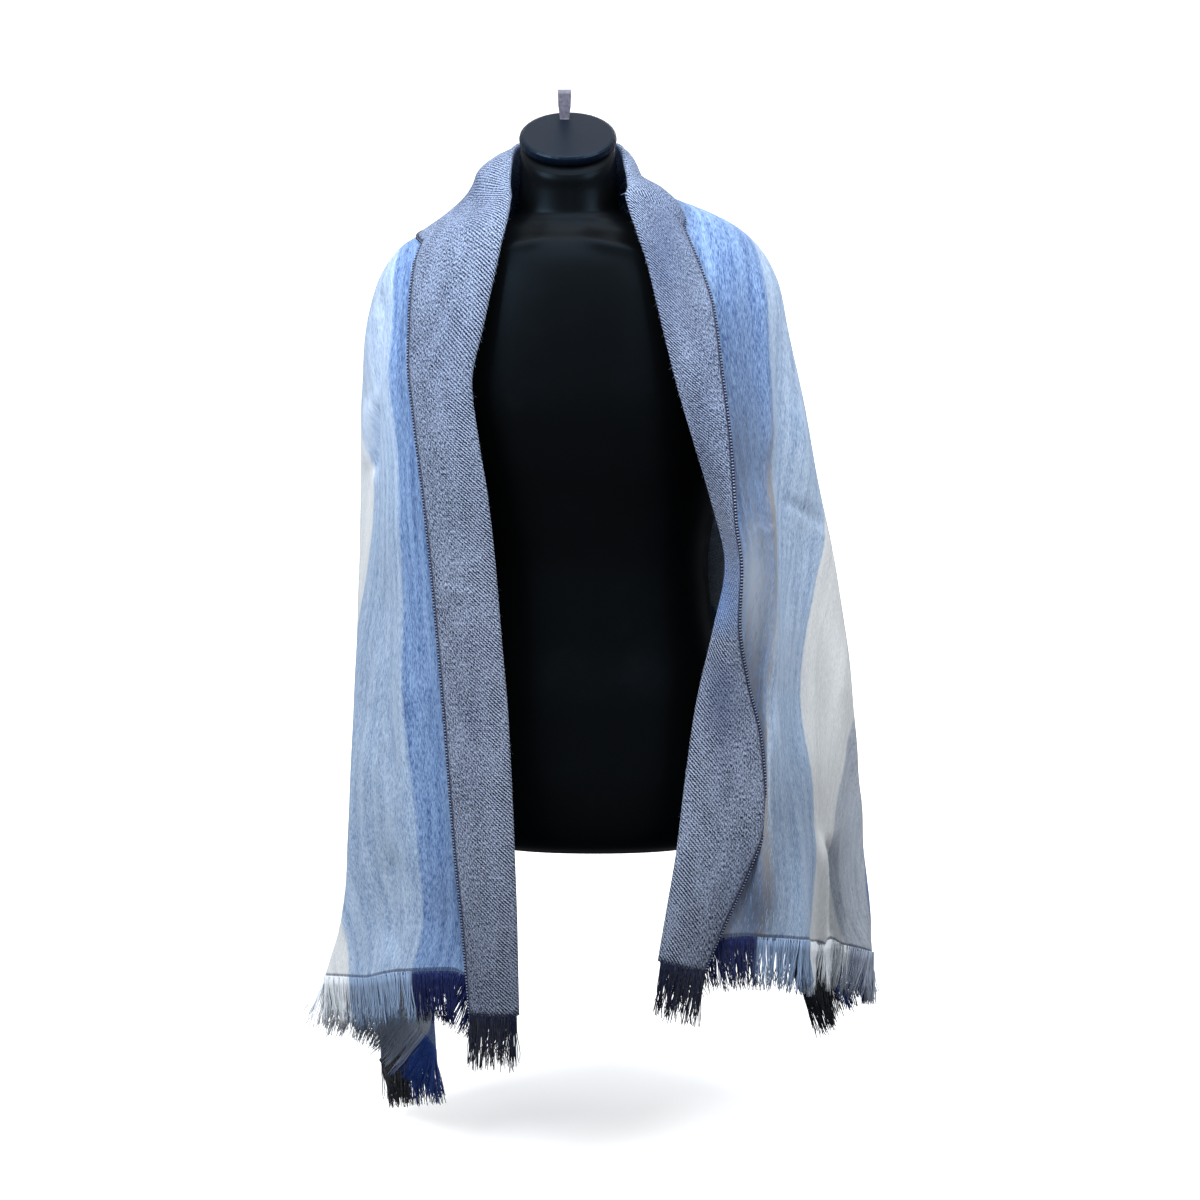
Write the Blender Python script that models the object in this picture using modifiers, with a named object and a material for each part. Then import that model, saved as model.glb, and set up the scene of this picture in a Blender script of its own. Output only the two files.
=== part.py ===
"""Long woven shawl, worn open over a hanging torso form.

The shawl is one straight length of cloth. Its upper long edge is turned out
around the neck as a collar, both fronts hang straight down, and the outer
corners swing behind and hang lowest. The solids are worked out from levels,
which are level rings around the figure, and from a short table of folds.

Metres, +Z up, the wearer faces -Y. The origin is the top of the hanging loop.
"left" and "right" are the viewer's left and right from the front.
"""
import functools
import math
import random
from collections import namedtuple

import bmesh
import bpy
from mathutils import Vector

# Driving sizes of the cloth
WALL = 0.0022            # thickness of the brushed cloth
SEAM = 0.0003            # space kept between neighbouring pieces
RING_POWER = 0.84        # below 1 squares the level rings a little
ROW_POWER = 1.55         # above 1 gathers the rows at the shoulders
ROWS = 20                # rows of faces from the collar fold to the lower edge
CORNER_COLUMNS = 9       # columns of faces from the middle of the back to a corner
SIDE_COLUMNS = 8         # columns of faces from a corner to a split
FRONT_COLUMNS = 18       # columns of faces from a split to a front edge
ANGLE_STEP = 0.5         # degrees between the points that give a ring's direction
HEIGHT_STEP = 0.002      # the same, between levels
FOLD_REACH = 2.0         # where a fold ends, in half widths
FOLD_EASE = 0.25         # share of a fold's height that it goes on growing below full
SPLIT = 0.5              # where a front leaves the back, as a share of the half ring

# Driving sizes of the collar
COLLAR_ACROSS = 5        # faces across the turned-back band
NECK_BULGE = 0.003       # how much further it bulges beside the neck
COLLAR_ROLL = 0.0055     # how far the band bulges off the cloth beside its fold
ROLL_SHAPE = 0.8         # below 1 makes the bulge rounder and nearer the fold
LIFT_SHAPE = 1.5         # above 1 keeps the band close to the cloth near the fold
COLLAR_CLEAR = WALL + 3 * SEAM
COLLAR_SEAM = 0.0009     # space where a front band bends away from the neck band

# Driving sizes of the fringe
DOWN = Vector((0, 0, -1))
FRINGE_LENGTH = 0.046
FRINGE_PITCH = 0.0062
BACKING_HEIGHT = 0.004
FRINGE_DROP = 0.0009     # from the hem's middle line down to the backing
LOCK_TAPER = 0.60
LOCK_SWAY = 0.0011       # each lock's own lean at its tip
CLUMP_SWAY = 0.005       # lean that neighbouring locks share
CLUMP_RATE = 0.45        # radians from one lock to the next
LOCK_UNEVEN = 0.08       # share that a lock is longer or shorter by chance
CLUMP_UNEVEN = 0.07      # share that neighbouring locks are longer or shorter together
BAND_SEED = 5            # makes the band's fringes unlike the cloth's
LOW_LEVEL = -0.954       # level that the lower edge's angles are measured at

# Driving sizes of the form
NECK = Vector((0.004, -0.030, 0.0))  # middle of the neck, from the hanging loop
CAP_RADIUS = 0.0525
CAP_MIDDLE = -0.050                  # height of the middle of the cap's top
CAP_LEAN = math.radians(33)
CAP_THICK = 0.012
CAP_BEVEL = 0.0045
FORM_SIDES = 36
FORM_POWER = 0.92
SLOT_DEEP = 0.0056
SLOT_CLEAR = 0.0012                  # the slot's spare width
BEVEL_STEPS = 3
LOOP_WIDTH = 0.0145
LOOP_NARROW = 0.0095                 # width where the ribbon is pinched by the slot
LOOP_THICK = 0.0014
LOOP_HALF = 0.0045                   # half the loop's opening, front to back
LOOP_LEG_GAP = 0.0009                # half the space between the legs in the slot
LOOP_STEPS = 10
LOOP_FOOT = 0.011                    # how deep the legs stand in the slot
LOOP_BOW = (0.75, 0.8, 0.1)          # half way up: spread and width; width in the slot

# Levels of the shawl: height of the ring, its half widths at the outline, the
# front edges' distance from the middle, and its depth before and behind.
Level = namedtuple("Level", "height left_out right_out left_in right_in front back")
LEVELS = [
    Level(-0.054, 0.0560, 0.0560, 0.0540, 0.0540, 0.058, 0.062),
    Level(-0.084, 0.0610, 0.0610, 0.0560, 0.0570, 0.062, 0.068),
    Level(-0.104, 0.0670, 0.0740, 0.0580, 0.0600, 0.066, 0.074),
    Level(-0.119, 0.0770, 0.1130, 0.0600, 0.0630, 0.072, 0.079),
    Level(-0.134, 0.0960, 0.1520, 0.0625, 0.0670, 0.080, 0.084),
    Level(-0.149, 0.1300, 0.1810, 0.0650, 0.0720, 0.088, 0.089),
    Level(-0.164, 0.1700, 0.1995, 0.0690, 0.0770, 0.096, 0.095),
    Level(-0.184, 0.1910, 0.2140, 0.0730, 0.0840, 0.105, 0.102),
    Level(-0.214, 0.2080, 0.2270, 0.0795, 0.0915, 0.116, 0.112),
    Level(-0.254, 0.2170, 0.2360, 0.0880, 0.1010, 0.126, 0.121),
    Level(-0.314, 0.2225, 0.2500, 0.1000, 0.1160, 0.135, 0.129),
    Level(-0.374, 0.2250, 0.2625, 0.0930, 0.1335, 0.137, 0.132),
    Level(-0.434, 0.2270, 0.2750, 0.0840, 0.1510, 0.134, 0.133),
    Level(-0.504, 0.2300, 0.2900, 0.0768, 0.1665, 0.131, 0.134),
    Level(-0.574, 0.2330, 0.3020, 0.0715, 0.1556, 0.131, 0.138),
    Level(-0.654, 0.2375, 0.3130, 0.0650, 0.1394, 0.132, 0.143),
    Level(-0.724, 0.2405, 0.3190, 0.0615, 0.1293, 0.133, 0.147),
    Level(-0.804, 0.2440, 0.3260, 0.0584, 0.1196, 0.133, 0.150),
    Level(-0.884, 0.2485, 0.3330, 0.0560, 0.1062, 0.132, 0.152),
    Level(-0.954, 0.2660, 0.3390, 0.0550, 0.0950, 0.131, 0.154),
    Level(-1.014, 0.2850, 0.3460, 0.0540, 0.0880, 0.130, 0.156),
    Level(-1.134, 0.2950, 0.3500, 0.0530, 0.0800, 0.130, 0.158),
]

# Collar fold around the neck: share of the half ring from the middle of the
# back to the front, and the fold's height there.
FoldPoint = namedtuple("FoldPoint", "share height")
NECK_FOLD = [
    FoldPoint(0.00, -0.056), FoldPoint(0.30, -0.056), FoldPoint(0.55, -0.060),
    FoldPoint(0.75, -0.070), FoldPoint(0.88, -0.089), FoldPoint(1.00, -0.119),
]

# Lower edge: angle around the figure from the middle of the back, and the
# height of the edge there. The lowest row is the corner, where the outer long
# edge ends and the fringed short end begins.
EdgePoint = namedtuple("EdgePoint", "angle height")
LEFT_EDGE = [
    EdgePoint(0, -0.655), EdgePoint(13, -0.682), EdgePoint(24, -0.752),
    EdgePoint(33, -0.850), EdgePoint(41, -0.970), EdgePoint(48, -1.116),
    EdgePoint(58, -1.094), EdgePoint(70, -1.060), EdgePoint(83, -1.000),
    EdgePoint(98, -0.974), EdgePoint(124, -0.962), EdgePoint(142, -0.944),
    EdgePoint(156, -0.940), EdgePoint(163, -0.956), EdgePoint(172, -0.986),
]
RIGHT_EDGE = [
    EdgePoint(0, -0.655), EdgePoint(13, -0.678), EdgePoint(24, -0.738),
    EdgePoint(33, -0.822), EdgePoint(40, -0.916), EdgePoint(47, -1.034),
    EdgePoint(57, -1.004), EdgePoint(70, -0.972), EdgePoint(86, -0.958),
    EdgePoint(104, -0.942), EdgePoint(122, -0.930), EdgePoint(136, -0.911),
    EdgePoint(150, -0.904), EdgePoint(162, -0.914), EdgePoint(172, -0.940),
]
LEFT_CORNER = 48
RIGHT_CORNER = 47

# Folds of the hanging cloth: side, angle around the figure from the middle of
# the back, half width in degrees, depth at the lower edge (inward is below
# zero), the height where the fold starts, and the height where it is full.
Fold = namedtuple("Fold", "side angle spread depth start full")
FOLDS = [
    Fold(-1, 71, 15, -0.158, -0.20, -1.10),
    Fold(-1, 50, 9, 0.030, -0.24, -1.00),
    Fold(-1, 32, 12, -0.052, -0.20, -0.80),
    Fold(-1, 14, 11, 0.026, -0.24, -0.66),
    Fold(-1, 97, 9, 0.006, -0.30, -0.95),
    Fold(-1, 118, 12, -0.010, -0.26, -0.90),
    Fold(-1, 141, 11, 0.007, -0.22, -0.80),
    Fold(1, 29, 11, -0.050, -0.20, -0.80),
    Fold(1, 12, 10, 0.024, -0.24, -0.66),
    Fold(1, 46, 10, 0.016, -0.24, -0.90),
    Fold(1, 62, 12, -0.014, -0.22, -0.80),
    Fold(1, 117, 10, -0.046, -0.70, -0.96),
    Fold(1, 132, 9, 0.010, -0.66, -0.93),
    Fold(1, 120, 16, -0.012, -0.22, -0.50),
    Fold(1, 141, 9, 0.010, -0.18, -0.34),
    Fold(1, 158, 9, -0.010, -0.40, -0.62),
]

# Collar's free edge around the neck: share of the half ring, how far it moves
# towards the front in degrees, its height, and how far it stands off.
NeckBand = namedtuple("NeckBand", "share angle height lift")
LEFT_NECK_BAND = [
    NeckBand(0.00, 0, -0.136, 0.006), NeckBand(0.30, 28, -0.137, 0.006),
    NeckBand(0.55, 58, -0.142, 0.007), NeckBand(0.75, 82, -0.149, 0.008),
    NeckBand(0.88, 101, -0.157, 0.007),
]
RIGHT_NECK_BAND = [
    NeckBand(0.00, 0, -0.136, 0.006), NeckBand(0.30, 30, -0.131, 0.006),
    NeckBand(0.55, 62, -0.123, 0.006), NeckBand(0.75, 92, -0.119, 0.006),
    NeckBand(0.88, 118, -0.132, 0.007),
]

# Collar's free edge down the fronts: height at the fold, the free edge's
# distance from the middle, how much lower or higher it is, and how far it
# stands off.
FrontBand = namedtuple("FrontBand", "height out rise lift")
LEFT_FRONT_BAND = [
    FrontBand(-0.119, 0.150, -0.051, 0.006), FrontBand(-0.160, 0.158, -0.036, 0.006),
    FrontBand(-0.220, 0.161, -0.022, 0.006), FrontBand(-0.280, 0.162, -0.012, 0.006),
    FrontBand(-0.340, 0.157, -0.004, 0.006), FrontBand(-0.434, 0.147, 0.0, 0.005),
    FrontBand(-0.540, 0.137, 0.0, 0.005), FrontBand(-0.654, 0.128, 0.0, 0.005),
    FrontBand(-0.804, 0.118, 0.0, 0.005), FrontBand(-0.884, 0.111, 0.0, 0.005),
    FrontBand(-0.989, 0.104, 0.0, 0.005),
]
RIGHT_FRONT_BAND = [
    FrontBand(-0.119, 0.126, -0.041, 0.006), FrontBand(-0.160, 0.138, -0.030, 0.008),
    FrontBand(-0.220, 0.148, -0.018, 0.010), FrontBand(-0.290, 0.154, -0.008, 0.014),
    FrontBand(-0.374, 0.162, 0.0, 0.022), FrontBand(-0.450, 0.168, 0.0, 0.032),
    FrontBand(-0.504, 0.1755, 0.0, 0.036), FrontBand(-0.560, 0.178, 0.0, 0.030),
    FrontBand(-0.624, 0.188, 0.0, 0.016), FrontBand(-0.690, 0.202, 0.0, 0.008),
    FrontBand(-0.770, 0.208, 0.0, 0.006), FrontBand(-0.830, 0.192, 0.0, 0.006),
    FrontBand(-0.884, 0.168, -0.006, 0.006), FrontBand(-0.940, 0.140, -0.018, 0.006),
]

# Rings of the torso form: height, how far the ring leans with the cap, middle
# of the ring, half width, and depth before and behind.
FormRing = namedtuple("FormRing", "height lean middle half front back")
FORM_RINGS = [
    FormRing(-0.0648, 1.0, 0.000, 0.0495, 0.0490, 0.0490),
    FormRing(-0.0700, 1.0, 0.000, 0.0510, 0.0500, 0.0500),
    FormRing(-0.0980, 0.5, 0.000, 0.0520, 0.0490, 0.0500),
    FormRing(-0.1300, 0.1, 0.001, 0.0560, 0.0500, 0.0580),
    FormRing(-0.1430, 0.0, 0.004, 0.0740, 0.0560, 0.0710),
    FormRing(-0.1540, 0.0, 0.007, 0.1180, 0.0660, 0.0840),
    FormRing(-0.1670, 0.0, 0.009, 0.1560, 0.0800, 0.0940),
    FormRing(-0.1900, 0.0, 0.009, 0.1800, 0.0940, 0.1020),
    FormRing(-0.2250, 0.0, 0.007, 0.1900, 0.1050, 0.1090),
    FormRing(-0.2700, 0.0, 0.006, 0.1900, 0.1120, 0.1120),
    FormRing(-0.3300, 0.0, 0.008, 0.1770, 0.1160, 0.1100),
    FormRing(-0.3900, 0.0, 0.011, 0.1610, 0.1100, 0.1010),
    FormRing(-0.4600, 0.0, 0.014, 0.1450, 0.0970, 0.0880),
    FormRing(-0.5200, 0.0, 0.017, 0.1360, 0.0890, 0.0800),
    FormRing(-0.5900, 0.0, 0.020, 0.1410, 0.0880, 0.0850),
    FormRing(-0.6600, 0.0, 0.023, 0.1540, 0.0920, 0.0970),
    FormRing(-0.7300, 0.0, 0.026, 0.1620, 0.0920, 0.1040),
    FormRing(-0.7900, 0.0, 0.028, 0.1580, 0.0860, 0.0990),
    FormRing(-0.8150, 0.0, 0.029, 0.1460, 0.0740, 0.0860),
    FormRing(-0.8260, 0.0, 0.029, 0.1180, 0.0560, 0.0640),
]


@functools.lru_cache(maxsize=None)
def column_points(rows, key, column):
    """Pairs of key and value of one column, in order."""
    return sorted((getattr(row, key), getattr(row, column)) for row in rows)


def read_table(rows, key, column, at):
    """Smooth value of one column where the key column reads `at`."""
    points = column_points(tuple(rows), key, column)
    if at <= points[0][0]:
        return points[0][1]
    if at >= points[-1][0]:
        return points[-1][1]
    index = max(i for i in range(len(points) - 1) if points[i][0] <= at)

    def slope(i):
        if i == 0 or i == len(points) - 1:
            return 0.0 if len(points) < 3 else secant(min(i, len(points) - 2))
        before, after = secant(i - 1), secant(i)
        if before * after <= 0:
            return 0.0
        return 2 * before * after / (before + after)

    def secant(i):
        (x0, y0), (x1, y1) = points[i], points[i + 1]
        return (y1 - y0) / (x1 - x0)

    (x0, y0), (x1, y1) = points[index], points[index + 1]
    span = x1 - x0
    t = (at - x0) / span
    return ((2 * t**3 - 3 * t**2 + 1) * y0 + (t**3 - 2 * t**2 + t) * span * slope(index)
            + (3 * t**2 - 2 * t**3) * y1 + (t**3 - t**2) * span * slope(index + 1))


def ease(low, high, value):
    """Smooth step from 0 at `low` to 1 at `high`."""
    t = min(1.0, max(0.0, (value - low) / (high - low)))
    return t * t * (3 - 2 * t)


def side_columns(side):
    """Names of the outline and front edge columns of one side."""
    return ("left_out", "left_in") if side < 0 else ("right_out", "right_in")


def front_angle(side, height):
    """Angle, in degrees from the middle of the back, of the front edge."""
    out_name, in_name = side_columns(side)
    out = read_table(LEVELS, "height", out_name, height)
    inner = read_table(LEVELS, "height", in_name, height)
    ratio = min(1.0, inner / out) ** (1 / RING_POWER)
    return 180 - math.degrees(math.asin(ratio))


@functools.lru_cache(maxsize=None)
def ring_shape(side, is_back, height):
    """Half width and depth of a level ring."""
    out = read_table(LEVELS, "height", side_columns(side)[0], height)
    return out, read_table(LEVELS, "height", "back" if is_back else "front", height)


def ring_point(side, angle, height):
    """Point of a level ring, before its folds."""
    turn = math.radians(angle)
    out, depth = ring_shape(side, angle < 90, height)
    across = abs(math.sin(turn)) ** RING_POWER
    along = abs(math.cos(turn)) ** RING_POWER
    return Vector((side * out * across, (1 if angle < 90 else -1) * depth * along, height))


def ring_outward(side, angle, height):
    """Level direction out of a ring."""
    after = ring_point(side, min(angle + ANGLE_STEP, 180), height)
    before = ring_point(side, max(angle - ANGLE_STEP, 0), height)
    along = (after - before).normalized()
    return Vector((-side * along.y, side * along.x, 0))


def bare_point(side, angle, height):
    """Point of the draped cloth: the ring, moved by each fold in the fold's own direction."""
    point = ring_point(side, angle, height)
    for fold in FOLDS:
        away = (angle - fold.angle) / fold.spread
        if fold.side == side and abs(away) < FOLD_REACH:
            shape = math.cos(away / FOLD_REACH * math.pi / 2) ** 2
            growth = ease(fold.start, fold.full + (fold.full - fold.start) * FOLD_EASE, height)
            point += ring_outward(side, fold.angle, height) * (fold.depth * shape * growth)
    return point


def cloth_point(side, angle, height, lift=0.0):
    """Point of the draped cloth, moved out of its face by `lift`."""
    point = bare_point(side, angle, height)
    if lift == 0.0:
        return point + NECK
    low, high = max(angle - 1, 0), min(angle + 1, 180)
    around = bare_point(side, high, height) - bare_point(side, low, height)
    down = bare_point(side, angle, height - HEIGHT_STEP) - bare_point(side, angle, height + HEIGHT_STEP)
    face = around.cross(down).normalized() * side
    return point + face * lift + NECK


def edge_height(side, angle):
    """Height of the lower edge at an angle."""
    return read_table(LEFT_EDGE if side < 0 else RIGHT_EDGE, "angle", "height", angle)


def share_point(share, row):
    """Point of the cloth: share -1 and 1 are the front edges, row 0 is the fold."""
    side = -1 if share < 0 else 1
    part = abs(share)
    top = read_table(NECK_FOLD, "share", "height", part)
    low = edge_height(side, part * front_angle(side, LOW_LEVEL))
    height = top + (low - top) * row ** ROW_POWER
    return cloth_point(side, part * front_angle(side, height), height)


def collection(name):
    """A collection linked to the scene."""
    made = bpy.data.collections.new(name)
    bpy.context.scene.collection.children.link(made)
    return made


def material(name, colour, roughness, metallic=0.0):
    """A plain Principled material."""
    made = bpy.data.materials.new(name)
    made.use_nodes = True
    shader = made.node_tree.nodes["Principled BSDF"]
    shader.inputs["Base Color"].default_value = (*colour, 1)
    shader.inputs["Roughness"].default_value = roughness
    shader.inputs["Metallic"].default_value = metallic
    return made


def finish_object(name, bm, finish, parts, smooth=True):
    """Turns a bmesh into a named object of the part."""
    mesh = bpy.data.meshes.new(name)
    bm.to_mesh(mesh)
    bm.free()
    mesh.materials.append(finish)
    if smooth:
        mesh.shade_smooth()
    made = bpy.data.objects.new(name, mesh)
    parts.objects.link(made)
    return made


def grid_object(name, grid, finish, parts):
    """Open surface through a grid of points, given the cloth's wall."""
    bm = bmesh.new()
    rows = [[bm.verts.new(point) for point in row] for row in grid]
    for upper, lower in zip(rows, rows[1:]):
        for i in range(len(upper) - 1):
            bm.faces.new((upper[i], lower[i], lower[i + 1], upper[i + 1]))
    made = finish_object(name, bm, finish, parts)
    wall = made.modifiers.new("wall", "SOLIDIFY")
    wall.thickness = WALL
    wall.offset = 0
    wall.use_even_offset = False
    return made


def spaced(first, last, count):
    """Evenly spaced values from first to last, `count` steps."""
    return [first + (last - first) * i / count for i in range(count + 1)]


def parted(points, at_start, at_end):
    """Pulls the ends of a line in by a seam where it meets a neighbour."""
    if at_start:
        points[0] = points[0] + (points[1] - points[0]).normalized() * SEAM
    if at_end:
        points[-1] = points[-1] + (points[-2] - points[-1]).normalized() * SEAM
    return points


def side_shares(side):
    """Columns of one side, as shares from the middle of the back to the split."""
    corner = (LEFT_CORNER if side < 0 else RIGHT_CORNER) / front_angle(side, LOW_LEVEL)
    return spaced(0, corner, CORNER_COLUMNS) + spaced(corner, SPLIT, SIDE_COLUMNS)[1:]


def make_panels(cloth, parts):
    """The back and the two fronts, one wall each."""
    back = [-share for share in reversed(side_shares(-1))] + side_shares(1)[1:]
    panels = [
        ("shawl_front_left", spaced(-1, -SPLIT, FRONT_COLUMNS), False, True),
        ("shawl_back", back, True, True),
        ("shawl_front_right", spaced(SPLIT, 1, FRONT_COLUMNS), True, False),
    ]
    for name, shares, at_start, at_end in panels:
        grid = []
        for row in spaced(0, 1, ROWS):
            line = [share_point(share, row) for share in shares]
            grid.append(parted(line, at_start, at_end))
        grid_object(name, grid, cloth, parts)


def free_edge(side, height):
    """Angle, height and lift of the collar's free edge, by its fold's height."""
    rows = LEFT_FRONT_BAND if side < 0 else RIGHT_FRONT_BAND
    out = read_table(rows, "height", "out", height)
    free_height = height + read_table(rows, "height", "rise", height)
    outline = read_table(LEVELS, "height", side_columns(side)[0], free_height)
    angle = 180 - math.degrees(math.asin(min(1.0, out / outline) ** (1 / RING_POWER)))
    return angle, free_height, read_table(rows, "height", "lift", height)


def band_line(fold, free, lift_free, side, bulge=COLLAR_ROLL):
    """Points across the collar from its fold to its free edge."""
    points = []
    for step in range(COLLAR_ACROSS + 1):
        across = step / COLLAR_ACROSS
        angle = fold[0] + (free[0] - fold[0]) * across
        height = fold[1] + (free[1] - fold[1]) * across
        swell = max(0.0, math.sin(math.pi * across ** ROLL_SHAPE)) ** ROLL_SHAPE
        roll = bulge * swell if 0 < step < COLLAR_ACROSS else 0.0
        lift = COLLAR_CLEAR + roll + (lift_free - COLLAR_CLEAR) * across ** LIFT_SHAPE
        points.append(cloth_point(side, angle, height, lift))
    return points


def neck_band(side, share):
    """Line across the collar where it goes round the neck."""
    front = NeckBand(1.0, *free_edge(side, NECK_FOLD[-1].height))
    rows = (LEFT_NECK_BAND if side < 0 else RIGHT_NECK_BAND) + [front]
    height = read_table(NECK_FOLD, "share", "height", share)
    fold = (share * front_angle(side, height), height)
    free = (read_table(rows, "share", "angle", share), read_table(rows, "share", "height", share))
    bulge = COLLAR_ROLL + NECK_BULGE * math.sin(math.pi * share ** LIFT_SHAPE)
    return band_line(fold, free, read_table(rows, "share", "lift", share), side, bulge)


def front_band(side, height):
    """Line across the collar where it runs down a front."""
    angle, free_height, lift = free_edge(side, height)
    return band_line((front_angle(side, height), height), (angle, free_height), lift, side)


def front_band_heights(side):
    """Heights of the fold at the cloth's own rows, down a front."""
    top = NECK_FOLD[-1].height
    low = edge_height(side, front_angle(side, LOW_LEVEL))
    return [top + (low - top) * row ** ROW_POWER for row in spaced(0, 1, ROWS)]


def make_collar(cloth, parts):
    """The turned-back band: a piece behind the neck and one down each front."""
    around = {}
    for side in (-1, 1):
        shares = side_shares(side)[:-1] + spaced(SPLIT, 1, FRONT_COLUMNS)
        around[side] = [neck_band(side, share) for share in shares]
    back = around[-1][::-1] + around[1][1:]
    grid_object("collar_back", back, cloth, parts)
    for name, side in (("collar_left", -1), ("collar_right", 1)):
        lines = [front_band(side, height) for height in front_band_heights(side)]
        lines[0] = [a + (b - a).normalized() * COLLAR_SEAM for a, b in zip(lines[0], lines[1])]
        grid_object(name, lines if side > 0 else lines[::-1], cloth, parts)


def hem_line(side):
    """Points along a fringed short end, from the corner to the front edge."""
    shares = side_shares(side)[CORNER_COLUMNS:-1] + spaced(SPLIT, 1, FRONT_COLUMNS)
    return [share_point(side * share, 1.0) for share in shares]


def even_points(line, pitch):
    """Points along a line, evenly spaced and close to `pitch` apart."""
    lengths = [0.0]
    for a, b in zip(line, line[1:]):
        lengths.append(lengths[-1] + (b - a).length)
    count = round(lengths[-1] / pitch)
    made, index = [], 0
    for i in range(count + 1):
        at = lengths[-1] * i / count
        while index < len(line) - 2 and lengths[index + 1] < at:
            index += 1
        part = (at - lengths[index]) / (lengths[index + 1] - lengths[index])
        made.append(line[index].lerp(line[index + 1], min(1.0, part)))
    return made


def make_fringe(name, line, seed, finish, parts):
    """A narrow backing under a hem, with a row of tapered locks below it."""
    points = even_points(line, FRINGE_PITCH)
    last = len(points) - 1
    bm = bmesh.new()
    rings, slides = [], []
    for i, point in enumerate(points):
        along = (points[min(i + 1, last)] - points[max(i - 1, 0)]).normalized()
        flat = Vector((along.x, along.y, 0)).normalized()
        out = Vector((-flat.y, flat.x, 0)) * (WALL / 2)
        hang = (DOWN - along * along.dot(DOWN)).normalized()
        top = hang * FRINGE_DROP
        low = hang * (FRINGE_DROP + BACKING_HEIGHT)
        corners = (point + top + out, point + top - out, point + low - out, point + low + out)
        rings.append([bm.verts.new(corner) for corner in corners])
        slides.append((flat, (hang + DOWN).normalized()))
    lower = []
    for a, b in zip(rings, rings[1:]):
        for j in range(4):
            face = bm.faces.new((a[j], b[j], b[(j + 1) % 4], a[(j + 1) % 4]))
            if j == 2:
                lower.append(face)
    bm.faces.new(rings[0])
    bm.faces.new(reversed(rings[-1]))
    bmesh.ops.recalc_face_normals(bm, faces=bm.faces)
    made = bmesh.ops.extrude_discrete_faces(bm, faces=lower)["faces"]
    chance = random.Random(seed)
    for i, face in enumerate(made):
        middle = face.calc_center_median()
        sway = math.sin(i * CLUMP_RATE + seed) * CLUMP_SWAY + chance.uniform(-1, 1) * LOCK_SWAY
        uneven = chance.uniform(-1, 1) * LOCK_UNEVEN + CLUMP_UNEVEN * math.sin(i * CLUMP_RATE - seed)
        length = FRINGE_LENGTH * (1 + uneven)
        push = chance.uniform(-1, 1) * LOCK_SWAY
        flat, hang = slides[i]
        shift = flat * sway + Vector((-flat.y, flat.x, 0)) * push + hang * length
        for vert in face.verts:
            vert.co = middle + (vert.co - middle) * LOCK_TAPER + shift
    return finish_object(name, bm, finish, parts, smooth=False)


def make_fringes(yarn, parts):
    """The fringes of both short ends and of the collar band's ends."""
    for seed, (name, side) in enumerate((("left", -1), ("right", 1))):
        make_fringe(f"fringe_{name}", hem_line(side), seed, yarn, parts)
        band = front_band(side, front_band_heights(side)[-1])
        make_fringe(f"fringe_collar_{name}", band, seed + BAND_SEED, yarn, parts)


def make_form(plastic, parts):
    """Smooth torso, whole and closed, with a leaning flat neck."""
    bm = bmesh.new()
    rings = []
    for ring in FORM_RINGS:
        verts = []
        for i in range(FORM_SIDES):
            turn = math.tau * i / FORM_SIDES
            depth = ring.back if math.sin(turn) > 0 else ring.front
            x = math.copysign(abs(math.cos(turn)) ** FORM_POWER, math.cos(turn)) * ring.half
            y = math.copysign(abs(math.sin(turn)) ** FORM_POWER, math.sin(turn)) * depth
            z = ring.height + y * math.tan(CAP_LEAN) * ring.lean
            verts.append(bm.verts.new(Vector((ring.middle + x, y, z)) + NECK))
        rings.append(verts)
    for upper, lower in zip(rings, rings[1:]):
        for i in range(FORM_SIDES):
            j = (i + 1) % FORM_SIDES
            bm.faces.new((upper[i], lower[i], lower[j], upper[j]))
    bm.faces.new(rings[0])
    bm.faces.new(reversed(rings[-1]))
    bmesh.ops.recalc_face_normals(bm, faces=bm.faces)
    finish_object("torso_form", bm, plastic, parts)


def make_cap(plastic, parts, cutters):
    """Leaning round cap on the neck, with a slot for the hanging loop."""
    bpy.ops.mesh.primitive_cylinder_add(vertices=FORM_SIDES, radius=CAP_RADIUS, depth=CAP_THICK)
    cap = bpy.context.object
    cap.name = "neck_cap"
    cap.data.materials.append(plastic)
    cap.rotation_euler.x = CAP_LEAN
    down = Vector((0, math.sin(CAP_LEAN), -math.cos(CAP_LEAN)))
    cap.location = NECK + Vector((0, 0, CAP_MIDDLE)) + down * (CAP_THICK / 2)
    bevel = cap.modifiers.new("rounded_edge", "BEVEL")
    bevel.width = CAP_BEVEL
    bevel.segments = BEVEL_STEPS
    bevel.limit_method = "ANGLE"
    move_to(cap, parts)

    bpy.ops.mesh.primitive_cube_add(size=1)
    slot = bpy.context.object
    slot.name = "loop_slot"
    slot.scale = (LOOP_NARROW + SLOT_CLEAR, SLOT_DEEP, 4 * CAP_THICK)
    slot.location = (0, 0, CAP_MIDDLE)
    slot.display_type = "WIRE"
    slot.hide_render = True
    move_to(slot, cutters)
    cut = cap.modifiers.new("slot", "BOOLEAN")
    cut.operation = "DIFFERENCE"
    cut.object = slot


def move_to(made, home):
    """Moves an object that an operator made into a collection."""
    for group in list(made.users_collection):
        group.objects.unlink(made)
    home.objects.link(made)


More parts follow.
